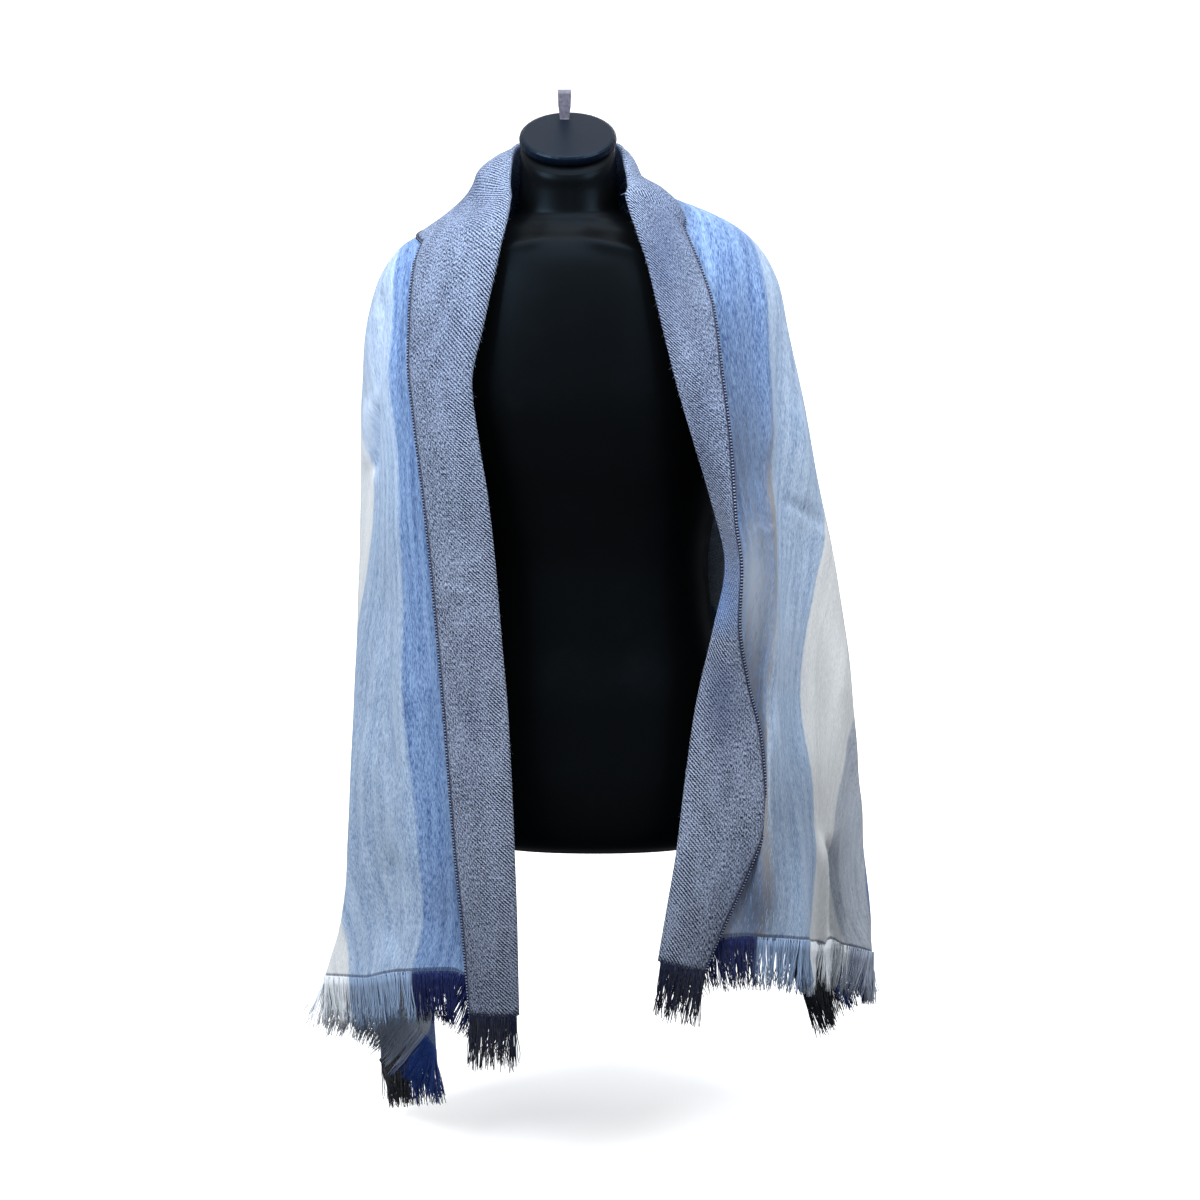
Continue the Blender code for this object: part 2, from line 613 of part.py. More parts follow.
def make_loop(ribbon, parts):
    """Ribbon loop that the whole part hangs by; its legs stand in the slot."""
    slot_top = CAP_MIDDLE - NECK.y * math.tan(CAP_LEAN)
    foot = slot_top - LOOP_FOOT
    arch = -LOOP_THICK / 2 - LOOP_HALF
    spread, middle_wide, slot_wide = LOOP_BOW
    leg = LOOP_LEG_GAP + LOOP_THICK / 2
    half = [(leg, foot, 0.0), (leg, slot_top, slot_wide)]
    half.append((LOOP_HALF * spread, (slot_top + arch) / 2, middle_wide))
    for i in range(LOOP_STEPS + 1):
        turn = math.pi / 2 * i / LOOP_STEPS
        half.append((LOOP_HALF * math.cos(turn), arch + LOOP_HALF * math.sin(turn), 1.0))
    path = half + [(-y, z, wide) for y, z, wide in reversed(half[:-1])]
    grid = []
    for y, z, wide in path:
        half_width = (LOOP_NARROW + (LOOP_WIDTH - LOOP_NARROW) * wide) / 2
        grid.append([Vector((x * half_width, y, z)) for x in (-1, 0, 1)])
    loop = grid_object("hanging_loop", grid, ribbon, parts)
    loop.modifiers["wall"].thickness = LOOP_THICK


def main():
    """Makes the whole part."""
    for old in list(bpy.data.objects):
        bpy.data.objects.remove(old)
    parts = collection("shawl_on_form")
    cutters = collection("cutters")
    cloth = material("woven_cloth", (0.30, 0.38, 0.50), 0.9)
    yarn = material("fringe_yarn", (0.04, 0.06, 0.14), 0.9)
    plastic = material("black_plastic", (0.012, 0.013, 0.015), 0.35)
    ribbon = material("satin_ribbon", (0.30, 0.27, 0.36), 0.5)
    make_panels(cloth, parts)
    make_collar(cloth, parts)
    make_fringes(yarn, parts)
    make_form(plastic, parts)
    make_cap(plastic, parts, cutters)
    make_loop(ribbon, parts)


main()
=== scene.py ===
"""Looks of the striped woven shawl on its hanging torso form.

The shawl is one sheet of cloth here: the brushed outer face hangs from the
collar fold, and the band beyond the fold is turned out and shows the twill of
the reverse. Stripes follow two measures that every point carries: its distance
across the cloth from the fold, and its distance along the cloth.

Metres, +Z up, the wearer faces -Y. "left" and "right" are the viewer's.
"""
import math
from collections import namedtuple

import bmesh
import bpy
import numpy as np
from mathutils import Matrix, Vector

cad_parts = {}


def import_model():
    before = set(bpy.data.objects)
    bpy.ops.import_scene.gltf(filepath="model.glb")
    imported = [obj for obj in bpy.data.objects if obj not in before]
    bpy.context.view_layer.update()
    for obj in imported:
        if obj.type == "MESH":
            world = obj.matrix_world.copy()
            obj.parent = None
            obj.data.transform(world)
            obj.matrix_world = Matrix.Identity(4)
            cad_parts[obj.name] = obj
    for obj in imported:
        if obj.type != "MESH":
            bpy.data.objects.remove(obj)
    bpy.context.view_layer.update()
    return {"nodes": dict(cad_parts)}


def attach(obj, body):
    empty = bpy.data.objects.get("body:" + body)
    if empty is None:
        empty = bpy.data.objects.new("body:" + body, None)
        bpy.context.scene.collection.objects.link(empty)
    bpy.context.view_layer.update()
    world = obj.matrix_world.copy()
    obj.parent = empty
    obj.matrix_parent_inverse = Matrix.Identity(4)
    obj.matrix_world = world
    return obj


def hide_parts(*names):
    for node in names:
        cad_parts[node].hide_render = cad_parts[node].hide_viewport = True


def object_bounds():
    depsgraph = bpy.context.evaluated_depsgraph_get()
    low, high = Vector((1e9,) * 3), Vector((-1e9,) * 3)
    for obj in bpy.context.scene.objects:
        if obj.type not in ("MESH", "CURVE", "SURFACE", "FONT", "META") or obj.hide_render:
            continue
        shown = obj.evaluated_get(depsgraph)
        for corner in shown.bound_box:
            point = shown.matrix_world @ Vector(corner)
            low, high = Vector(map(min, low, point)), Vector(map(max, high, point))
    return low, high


def table(kind, values):
    """Named rows of a table."""
    return [kind(*value) for value in values]


# View
VIEW_CENTRE = Vector((0.0385, -0.030, -0.554))
CAMERA_PLACE = Vector((0.0385, -2.530, -0.254))
VIEW_WIDTH = 1.32        # width of the picture at the view centre
SENSOR = 36.0
PHOTO_SIZE = 1200
PIXEL = VIEW_WIDTH / PHOTO_SIZE

# Stage
FLOOR_GAP = 0.012        # below the lowest fringe
FLOOR_GLOW = 0.16        # light of the floor itself below the shawl, and of the wall
FLOOR_RADIUS = 3.2
BEND_RADIUS = 1.4        # from floor to wall
BEND_STEPS = 12
WALL_TOP = 5.2
WALL_GLOW = 1.0
GLOW_FROM = 0.7          # distances from the middle between which it rises
GLOW_TO = 2.6

SKY_STRENGTH = 0.74
SKY = ((0.30, (0.12, 0.12, 0.13, 1)), (0.80, (0.93, 0.96, 1.0, 1)))  # heights, and light below and above

# Cloth
THICKNESS = 0.0017
HALF_COLUMNS = 130       # faces from the middle of the back to a front edge
FINE_ROWS = 138          # faces from the collar fold to the lower edge
FINE_SPACING = 0.76      # evens out the rows, which gather at the shoulders
ACROSS_WIDTH = 0.58      # from the fold to the outer selvedge
ROLL_RADIUS = 0.0024     # of the collar's soft fold
ROLL_STEPS = 4
BAND_STEPS = 12
RELAX_STEPS = 900
RELAX_GAIN = 1.9
MOVES = ((0, 1), (1, 0), (1, 1), (1, -1), (1, 2), (2, 1), (1, -2), (2, -1))  # to neighbours

# Sizes shared with the solids
RING_POWER = 0.84
ROW_POWER = 1.55
FOLD_REACH = 2.0
FOLD_EASE = 0.25
LIFT_SHAPE = 1.5
ROLL_SHAPE = 0.8
COLLAR_ROLL = 0.0055
NECK_BULGE = 0.003
LEFT_BRIDGE = 0.020      # how far the band stands off the hollow of the left shoulder
BRIDGE_SHAPE = 2.8
LOW_LEVEL = -0.954
NECK = np.array((0.004, -0.030, 0.0))
LEFT_CORNER = 48
RIGHT_CORNER = 47

# Levels of the shawl: height of the ring, its half widths at the outline, the
# front edges' distance from the middle, and its depth before and behind.
Level = namedtuple("Level", "height left_out right_out left_in right_in front back")
LEVELS = table(Level, (
    (-0.054, 0.056, 0.056, 0.054, 0.054, 0.058, 0.062), (-0.084, 0.061, 0.061, 0.056, 0.057, 0.062, 0.068),
    (-0.104, 0.067, 0.074, 0.058, 0.06, 0.066, 0.074), (-0.119, 0.077, 0.113, 0.06, 0.063, 0.072, 0.079),
    (-0.134, 0.096, 0.152, 0.0625, 0.067, 0.08, 0.084), (-0.149, 0.13, 0.181, 0.065, 0.072, 0.088, 0.089),
    (-0.164, 0.17, 0.1995, 0.069, 0.077, 0.096, 0.095), (-0.184, 0.191, 0.214, 0.073, 0.084, 0.105, 0.102),
    (-0.214, 0.208, 0.227, 0.0795, 0.0915, 0.116, 0.112), (-0.254, 0.217, 0.236, 0.088, 0.101, 0.126, 0.121),
    (-0.314, 0.2225, 0.25, 0.1, 0.116, 0.135, 0.129), (-0.374, 0.225, 0.2625, 0.093, 0.1335, 0.137, 0.132),
    (-0.434, 0.227, 0.275, 0.084, 0.151, 0.134, 0.133), (-0.504, 0.23, 0.29, 0.0768, 0.1665, 0.131, 0.134),
    (-0.574, 0.233, 0.302, 0.0715, 0.1556, 0.131, 0.138),
    (-0.654, 0.2375, 0.313, 0.065, 0.1394, 0.132, 0.143),
    (-0.724, 0.2405, 0.319, 0.0615, 0.1293, 0.133, 0.147),
    (-0.804, 0.244, 0.326, 0.0584, 0.1196, 0.133, 0.15),
    (-0.884, 0.2485, 0.333, 0.056, 0.1062, 0.132, 0.152), (-0.954, 0.266, 0.339, 0.055, 0.095, 0.131, 0.154),
    (-1.014, 0.285, 0.346, 0.054, 0.088, 0.13, 0.156), (-1.134, 0.295, 0.35, 0.053, 0.08, 0.13, 0.158),
))

# Collar fold around the neck: share of the half ring, and the fold's height.
FoldPoint = namedtuple("FoldPoint", "share height")
NECK_FOLD = table(FoldPoint, (
    (0.0, -0.056), (0.3, -0.056), (0.55, -0.06), (0.75, -0.07), (0.88, -0.089), (1.0, -0.119),
))

# Lower edge: angle around the figure from the middle of the back, and height.
EdgePoint = namedtuple("EdgePoint", "angle height")
LEFT_EDGE = table(EdgePoint, (
    (0, -0.655), (13, -0.682), (24, -0.752), (33, -0.85), (41, -0.97), (48, -1.116), (58, -1.094),
    (70, -1.06), (83, -1.0), (98, -0.974), (124, -0.962), (142, -0.944), (156, -0.94), (163, -0.956),
    (172, -0.986),
))
RIGHT_EDGE = table(EdgePoint, (
    (0, -0.655), (13, -0.678), (24, -0.738), (33, -0.822), (40, -0.916), (47, -1.034), (57, -1.004),
    (70, -0.972), (86, -0.958), (104, -0.942), (122, -0.93), (136, -0.911), (150, -0.904), (162, -0.914),
    (172, -0.94),
))

# Large folds: side, angle, half width in degrees, depth at the lower edge, the
# height where the fold starts, and the height where it is full.
Fold = namedtuple("Fold", "side angle spread depth start full")
FOLDS = table(Fold, (
    (-1, 71, 15, -0.158, -0.2, -1.1), (-1, 50, 9, 0.03, -0.24, -1.0), (-1, 32, 12, -0.052, -0.2, -0.8),
    (-1, 14, 11, 0.026, -0.24, -0.66), (-1, 97, 9, 0.006, -0.3, -0.95), (-1, 118, 12, -0.01, -0.26, -0.9),
    (-1, 141, 11, 0.007, -0.22, -0.8), (1, 29, 11, -0.05, -0.2, -0.8), (1, 12, 10, 0.024, -0.24, -0.66),
    (1, 46, 10, 0.016, -0.24, -0.9), (1, 62, 12, -0.014, -0.22, -0.8), (1, 117, 10, -0.046, -0.7, -0.96),
    (1, 132, 9, 0.01, -0.66, -0.93), (1, 120, 16, -0.012, -0.22, -0.5), (1, 141, 9, 0.01, -0.18, -0.34),
    (1, 158, 9, -0.01, -0.4, -0.62),
))

# Small soft creases of the outer face, in the same columns.
SMALL_FOLDS = table(Fold, (
    (-1, 6, 3.0, 0.0035, -0.3, -0.6), (-1, 21, 3.6, -0.004, -0.26, -0.62), (-1, 27, 2.6, 0.003, -0.4, -0.74),
    (-1, 39, 3.2, 0.004, -0.34, -0.8), (-1, 45, 2.4, -0.003, -0.48, -0.9), (-1, 60, 3.4, 0.0045, -0.3, -0.9),
    (-1, 66, 2.8, -0.004, -0.5, -0.95), (-1, 79, 3.6, 0.004, -0.36, -0.8),
    (-1, 92, 7.0, -0.0075, -0.3, -0.62), (-1, 104, 3.0, 0.0022, -0.4, -0.9),
    (1, 4, 3.4, -0.0035, -0.3, -0.58), (1, 18, 3.0, 0.004, -0.28, -0.66), (1, 24, 2.6, -0.003, -0.4, -0.7),
    (1, 36, 3.6, 0.0045, -0.32, -0.8), (1, 41, 2.4, -0.0028, -0.52, -0.88), (1, 54, 3.2, 0.004, -0.3, -0.8),
    (1, 69, 3.0, -0.0042, -0.34, -0.84), (1, 76, 2.6, 0.0036, -0.44, -0.86),
    (1, 84, 3.0, -0.0026, -0.4, -0.9), (1, 128, 2.6, -0.0016, -0.5, -0.86),
))

# Collar's free edge around the neck: share, turn towards the front in degrees,
# height, and how far it stands off.
NeckBand = namedtuple("NeckBand", "share angle height lift")
LEFT_NECK_BAND = table(NeckBand, (
    (0.0, 0, -0.136, 0.006), (0.3, 28, -0.137, 0.006), (0.55, 58, -0.142, 0.007), (0.75, 82, -0.149, 0.008),
    (0.88, 101, -0.157, 0.004),
))
RIGHT_NECK_BAND = table(NeckBand, (
    (0.0, 0, -0.136, 0.006), (0.3, 30, -0.131, 0.006), (0.55, 62, -0.118, 0.005), (0.75, 94, -0.11, 0.003),
    (0.88, 130, -0.13, 0.003),
))

# Collar's free edge down the fronts: height at the fold, the free edge's
# distance from the middle, how much lower or higher it is, and its stand-off.
FrontBand = namedtuple("FrontBand", "height out rise lift")
LEFT_FRONT_BAND = table(FrontBand, (
    (-0.119, 0.15, -0.051, 0.004), (-0.16, 0.158, -0.036, 0.005), (-0.22, 0.161, -0.022, 0.006),
    (-0.28, 0.162, -0.012, 0.006), (-0.34, 0.157, -0.004, 0.006), (-0.434, 0.147, 0.0, 0.005),
    (-0.54, 0.137, 0.0, 0.005), (-0.654, 0.128, 0.0, 0.005), (-0.804, 0.118, 0.0, 0.005),
    (-0.884, 0.111, 0.0, 0.005), (-0.989, 0.104, 0.0, 0.005),
))
RIGHT_FRONT_BAND = table(FrontBand, (
    (-0.119, 0.121, -0.036, 0.003), (-0.16, 0.134, -0.029, 0.006), (-0.22, 0.148, -0.018, 0.01),
    (-0.29, 0.154, -0.008, 0.014), (-0.374, 0.162, 0.0, 0.022), (-0.45, 0.168, 0.0, 0.032),
    (-0.504, 0.1755, 0.0, 0.036), (-0.56, 0.178, 0.0, 0.03), (-0.624, 0.188, 0.0, 0.016),
    (-0.69, 0.202, 0.0, 0.008), (-0.77, 0.208, 0.0, 0.006), (-0.83, 0.192, 0.0, 0.006),
    (-0.884, 0.168, -0.006, 0.006), (-0.94, 0.14, -0.018, 0.006),
))

# Rings of the torso form: height, how far the ring leans with the cap, middle
# of the ring, half width, and depth before and behind.
FormRing = namedtuple("FormRing", "height lean middle half front back")
FORM_RINGS = table(FormRing, (
    (-0.0648, 1.0, 0.0, 0.0495, 0.049, 0.049), (-0.07, 1.0, 0.0, 0.051, 0.05, 0.05),
    (-0.098, 0.5, 0.0, 0.052, 0.049, 0.05), (-0.13, 0.1, 0.001, 0.056, 0.05, 0.058),
    (-0.143, 0.0, 0.004, 0.074, 0.056, 0.071), (-0.154, 0.0, 0.007, 0.118, 0.066, 0.084),
    (-0.167, 0.0, 0.009, 0.156, 0.08, 0.094), (-0.19, 0.0, 0.009, 0.18, 0.094, 0.102),
    (-0.225, 0.0, 0.007, 0.19, 0.105, 0.109), (-0.27, 0.0, 0.006, 0.19, 0.112, 0.112),
    (-0.33, 0.0, 0.008, 0.177, 0.116, 0.11), (-0.39, 0.0, 0.011, 0.161, 0.11, 0.101),
    (-0.46, 0.0, 0.014, 0.145, 0.097, 0.088), (-0.52, 0.0, 0.017, 0.136, 0.089, 0.08),
    (-0.59, 0.0, 0.02, 0.141, 0.088, 0.085), (-0.66, 0.0, 0.023, 0.154, 0.092, 0.097),
    (-0.73, 0.0, 0.026, 0.162, 0.092, 0.104), (-0.79, 0.0, 0.028, 0.158, 0.086, 0.099),
    (-0.815, 0.0, 0.029, 0.146, 0.074, 0.086), (-0.826, 0.0, 0.029, 0.118, 0.056, 0.064),
))
FORM_POWER = 0.92
FORM_SIDES = 160
FORM_ROWS = 150
CAP_LEAN = math.radians(33)

# Places on the front where the photo shows a stripe's edge: side, column and
# row in the photo's pixels, and the distance across the cloth there.
StripeMark = namedtuple("StripeMark", "side x y across")
STRIPE_MARKS = table(StripeMark, (
    (1, 767, 335, 0.12), (1, 770, 432, 0.12), (1, 773, 534, 0.12), (1, 772, 630, 0.12), (1, 770, 720, 0.12),
    (1, 766, 834, 0.12), (1, 766, 900, 0.12), (1, 829, 533, 0.225), (1, 814, 597, 0.225),
    (1, 803, 664, 0.225), (1, 808, 740, 0.225), (1, 817, 815, 0.225), (1, 819, 880, 0.225),
    (1, 853, 746, 0.325), (1, 838, 790, 0.325), (1, 832, 850, 0.325), (1, 836, 905, 0.325),
    (1, 868, 905, 0.415), (-1, 390, 300, 0.12), (-1, 391, 400, 0.12), (-1, 396, 500, 0.12),
    (-1, 402, 610, 0.12), (-1, 407, 719, 0.12), (-1, 416, 820, 0.12), (-1, 421, 900, 0.12),
    (-1, 373, 478, 0.225), (-1, 369, 540, 0.222), (-1, 364, 620, 0.192), (-1, 361, 700, 0.178),
    (-1, 359, 780, 0.174), (-1, 358, 860, 0.176),
))
SOFTEN_STEPS = 30        # rounds of smoothing
MARK_REACHES = (0.16, 0.07)  # how far a mark bends the stripes around it, in two rounds
CREASE_GAIN = 1.7        # makes every crease deeper alike
CREASE_TAPER = 0.22      # share of a crease's length over which an end fades
HEM_REACH = 0.055        # nearer the hem than this, marks bend the stripes less
MARK_NEAR = 5.0          # pixels from a mark within which the nearest layer is taken

# Creases that the photo shows on the outer face: side, start and end in the
# photo's pixels, half width and height in metres (a trough is below zero).
Crease = namedtuple("Crease", "side x0 y0 x1 y1 width rise")
CREASES = table(Crease, (
    (1, 757, 268, 768, 470, 0.01, 0.0045), (1, 768, 470, 770, 700, 0.008, 0.005),
    (1, 770, 700, 764, 940, 0.009, 0.005), (1, 781, 330, 784, 640, 0.009, -0.003),
    (1, 744, 560, 742, 900, 0.014, -0.003), (1, 728, 531, 769, 519, 0.003, -0.0026),
    (1, 728, 537, 768, 526, 0.004, 0.0018), (1, 784, 498, 832, 528, 0.005, -0.0018),
    (1, 806, 560, 812, 800, 0.011, 0.003), (1, 818, 832, 822, 958, 0.005, 0.0075),
    (1, 829, 840, 834, 958, 0.0075, -0.01), (1, 848, 700, 855, 950, 0.012, -0.004),
    (1, 838, 640, 846, 860, 0.01, 0.0035), (1, 792, 640, 794, 950, 0.01, -0.0036),
    (1, 720, 250, 738, 420, 0.016, 0.003), (1, 800, 400, 806, 520, 0.01, 0.0024),
    (-1, 381, 288, 377, 400, 0.0045, -0.005), (-1, 377, 400, 375, 476, 0.0035, -0.006),
    (-1, 368, 400, 367, 470, 0.006, 0.0035), (-1, 392, 330, 399, 560, 0.012, 0.0026),
    (-1, 383, 560, 390, 800, 0.011, -0.003), (-1, 402, 620, 414, 900, 0.01, 0.003),
    (-1, 372, 720, 366, 950, 0.011, 0.0032), (-1, 428, 700, 438, 940, 0.008, -0.0022),
    (-1, 392, 850, 392, 955, 0.008, -0.004), (-1, 412, 300, 409, 470, 0.01, -0.002),
))

# Painted light and shade, partly the cloth's own tone.
# Places where the photo shows the cloth paler (above zero) or darker and greyer:
# middle and half sizes in the photo's pixels, and amount.
Shade = namedtuple("Shade", "x y wide tall amount")
SHADES = table(Shade, (
    (754, 590, 15, 62, 0.8), (752, 905, 24, 46, -0.85), (790, 815, 22, 52, -0.35), (722, 690, 18, 44, -0.6),
    (383, 850, 14, 70, -0.16), (444, 905, 12, 40, -0.3), (445, 340, 26, 80, -0.28),
    (474, 720, 22, 90, -0.22), (742, 360, 26, 90, -0.42), (662, 250, 26, 70, -0.9), (704, 420, 14, 90, -0.5),
    (722, 600, 13, 46, 0.9), (378, 350, 9, 90, 0.35), (366, 430, 8, 60, 0.55), (799, 490, 20, 34, 0.16),
    (725, 700, 18, 60, -0.4), (850, 845, 10, 50, 0.32), (470, 190, 24, 40, -0.5), (748, 460, 20, 50, -0.34),
    (790, 935, 22, 36, -0.26), (787, 650, 16, 46, 0.26),
))

# Creases of the turned-out band down the fronts, in the same columns.
BAND_CREASES = table(Crease, (
    (-1, 436, 578, 474, 582, 0.0035, -0.0016), (-1, 436, 588, 474, 592, 0.005, 0.0012),
    (-1, 470, 330, 462, 520, 0.01, 0.0016), (-1, 478, 640, 492, 920, 0.008, -0.0014),
    (1, 660, 250, 694, 420, 0.01, 0.0018), (1, 722, 640, 738, 800, 0.009, 0.002),
    (1, 708, 700, 716, 860, 0.009, -0.0018), (1, 690, 880, 712, 940, 0.008, 0.0016),
))

# Stripes across the cloth: where each starts, its lighter and darker yarn as
# they look brushed, and its loose warp ends in the fringe. Colours are sRGB.
Stripe = namedtuple("Stripe", "start light dark fringe")
STRIPES = table(Stripe, (
    (-0.12, (172, 192, 228), (8, 15, 40), (13, 18, 42)), (0.0, (152, 184, 228), (60, 92, 150), (16, 28, 80)),
    (0.12, (196, 216, 240), (124, 152, 190), (136, 158, 188)),
    (0.225, (240, 243, 245), (212, 218, 223), (226, 232, 238)),
    (0.325, (202, 210, 221), (146, 157, 176), (150, 160, 178)),
    (0.415, (128, 152, 196), (60, 82, 134), (26, 58, 128)), (0.5, (70, 78, 104), (14, 17, 32), (8, 9, 16)),
))
# Colours of single threads, and of painted light and shade, sRGB
TAN = (158, 156, 154)
SEAM_BLUE = (52, 66, 104)
PAINTED_LIGHT_PALE = (196, 208, 224)
PAINTED_SHADE_GREY = (78, 88, 108)
GREY_LIGHT = (168, 178, 200)
GREY_DARK = (12, 17, 34)
BAND_PAINTED_LIGHT = (98, 140, 205)
BAND_PAINTED_SHADE = (40, 56, 96)
RIM_NAVY = (34, 42, 74)
BLACK = (0, 0, 0, 1)

# Weave, in metres
EDGE_WAVER = 0.0009      # of a stripe's edge
HAIR_DRIFT = 0.0015
WALE = 0.0040            # from one diagonal of the twill to the next
PICK = 0.0022
WALE_BEND = 0.0011
RIBBON_RIB = 0.0009

# Hairs and yarns
NAP_HAIRS = 34000        # on each side
BAND_COVER = 0.075       # nearer the fold than this, the band hides the outer face
FUZZ_HAIRS = 4           # to each row of points down a fold
SELVEDGE_PITCH = 0.0009
BEAD_STEPS = 3.6         # steps of that pitch to a bead
CORD_SIDES = 5
CLUMP = 11.0             # loose ends in a clump
CLUMP_SPREADS = ((0, 0.0030), (0, 0.0024), (1.0, 0.07))  # sideways, outwards, in length
STRAND_STEPS = 7
STRAND_SIDES = 3
HEM_PITCH = 0.00036      # between loose ends
HEM_FRINGE = 0.048
BAND_PITCH = 0.00034
BAND_FRINGE = 0.052
BAND_REACH = (-0.004, -0.062)

STRIPE_LOW = -0.12
STRIPE_HIGH = 0.60
STRIPE_BLUR = 0.0012
LOW_SHADE = 0.20         # painted shade: how much darker the lower cloth is


def smooth_curve(rows, key, column):
    """Function that gives one column's smooth value where the key column reads `at`."""
    points = sorted((getattr(row, key), getattr(row, column)) for row in rows)
    xs = np.array([point[0] for point in points], dtype=float)
    ys = np.array([point[1] for point in points], dtype=float)
    secants = np.diff(ys) / np.diff(xs)
    slopes = np.empty_like(xs)
    slopes[0], slopes[-1] = secants[0], secants[-1]
    before, after = secants[:-1], secants[1:]
    level = before * after <= 0
    total = np.where(level, 1.0, before + after)
    slopes[1:-1] = np.where(level, 0.0, 2 * before * after / total)

    def value(at):
        at = np.clip(np.asarray(at, dtype=float), xs[0], xs[-1])
        i = np.clip(np.searchsorted(xs, at, side="right") - 1, 0, len(xs) - 2)
        span = xs[i + 1] - xs[i]
        t = (at - xs[i]) / span
        return ((2 * t**3 - 3 * t**2 + 1) * ys[i] + (t**3 - 2 * t**2 + t) * span * slopes[i]
                + (3 * t**2 - 2 * t**3) * ys[i + 1] + (t**3 - t**2) * span * slopes[i + 1])

    return value


OUT = {-1: smooth_curve(LEVELS, "height", "left_out"), 1: smooth_curve(LEVELS, "height", "right_out")}
INNER = {-1: smooth_curve(LEVELS, "height", "left_in"), 1: smooth_curve(LEVELS, "height", "right_in")}
FRONT = smooth_curve(LEVELS, "height", "front")
BACK = smooth_curve(LEVELS, "height", "back")
FOLD_HEIGHT = smooth_curve(NECK_FOLD, "share", "height")
EDGE_HEIGHT = {-1: smooth_curve(LEFT_EDGE, "angle", "height"), 1: smooth_curve(RIGHT_EDGE, "angle", "height")}
FRONT_ROWS = {-1: LEFT_FRONT_BAND, 1: RIGHT_FRONT_BAND}
BAND_OUT = {side: smooth_curve(rows, "height", "out") for side, rows in FRONT_ROWS.items()}
BAND_RISE = {side: smooth_curve(rows, "height", "rise") for side, rows in FRONT_ROWS.items()}
BAND_LIFT = {side: smooth_curve(rows, "height", "lift") for side, rows in FRONT_ROWS.items()}


def ease(low, high, value):
    """Smooth step from 0 at `low` to 1 at `high`."""
    t = np.clip((value - low) / (high - low), 0.0, 1.0)
    return t * t * (3 - 2 * t)


def unit(vectors):
    """Vectors of length one."""
    return vectors / np.maximum(np.linalg.norm(vectors, axis=-1, keepdims=True), 1e-9)


def front_angle(side, height):
    """Angle of the front edge, in degrees from the middle of the back."""
    ratio = np.minimum(1.0, INNER[side](height) / OUT[side](height)) ** (1 / RING_POWER)
    return 180 - np.degrees(np.arcsin(ratio))


def ring_point(side, angle, height):
    """Points of level rings, before their folds."""
    turn = np.radians(angle)
    behind = angle < 90
    depth = np.where(behind, BACK(height), FRONT(height))
    across = np.abs(np.sin(turn)) ** RING_POWER
    along = np.abs(np.cos(turn)) ** RING_POWER
    return np.stack((side * OUT[side](height) * across, np.where(behind, 1, -1) * depth * along, height), -1)


def ring_outward(side, angle, height):
    """Level directions out of the rings, all at one angle."""
    after = ring_point(side, np.full_like(height, angle + 0.5), height)
    before = ring_point(side, np.full_like(height, max(angle - 0.5, 0.0)), height)
    along = unit(after - before)
    return np.stack((-side * along[..., 1], side * along[..., 0], np.zeros_like(height)), -1)


def fold_share(fold, angle, height):
    """How much of a fold's depth there is at each angle and height."""
    away = (angle - fold.angle) / fold.spread
    shape = np.where(np.abs(away) < FOLD_REACH, np.cos(away / FOLD_REACH * np.pi / 2) ** 2, 0.0)
    return shape * ease(fold.start, fold.full + (fold.full - fold.start) * FOLD_EASE, height)


def bare_point(side, angle, height):
    """Points of the draped cloth with its large folds."""
    angle, height = np.broadcast_arrays(np.asarray(angle, dtype=float), np.asarray(height, dtype=float))
    point = ring_point(side, angle, height)
    for fold in FOLDS:
        if fold.side == side:
            share = fold.depth * fold_share(fold, angle, height)
            point = point + ring_outward(side, fold.angle, height) * share[..., None]
    return point


def cloth_normal(side, angle, height):
    """Directions out of the draped cloth's face."""
    ahead, behind = np.minimum(angle + 1, 180), np.maximum(angle - 1, 0)
    around = bare_point(side, ahead, height) - bare_point(side, behind, height)
    down = bare_point(side, angle, height - 0.002) - bare_point(side, angle, height + 0.002)
    return unit(np.cross(around, down)) * side


def photo_place(points):
    """Where the camera sees points, in the photo's pixels."""
    eye = np.array(CAMERA_PLACE)
    ahead = unit(np.array(VIEW_CENTRE - CAMERA_PLACE))
    right = unit(np.cross(ahead, (0.0, 0.0, 1.0)))
    up = np.cross(right, ahead)
    away = points - eye
    depth = away @ ahead
    scale = (VIEW_CENTRE - CAMERA_PLACE).length / depth / PIXEL
    half = PHOTO_SIZE / 2
    return np.stack((half + (away @ right) * scale, half - (away @ up) * scale), -1)


def crease_height(creases, side, places):
    """Height that the creases give to points seen at the given photo places."""
    height = np.zeros(places.shape[:-1])
    for crease in creases:
        if crease.side != side:
            continue
        start = np.array((crease.x0, crease.y0), dtype=float)
        run = np.array((crease.x1, crease.y1), dtype=float) - start
        length = np.linalg.norm(run)
        part = ((places - start) @ run) / length**2
        inside = ease(-0.08, CREASE_TAPER, part) * ease(1.08, 1 - CREASE_TAPER, part)
        beside = np.linalg.norm(places - (start + np.clip(part, 0, 1)[..., None] * run), axis=-1) * PIXEL
        height += CREASE_GAIN * crease.rise * inside * np.exp(-(beside / crease.width) ** 2)
    return height


def ripple(u, v, seed):
    """Slow uneven waves between -1 and 1."""
    chance = np.random.default_rng(seed)
    total = np.zeros_like(u)
    for _ in range(7):
        turn = chance.uniform(0, 2 * np.pi)
        rate = chance.uniform(45, 130)
        total += np.sin((u * np.cos(turn) + v * np.sin(turn) * 0.45) * rate + chance.uniform(0, 6.3))
    return total / 3.5


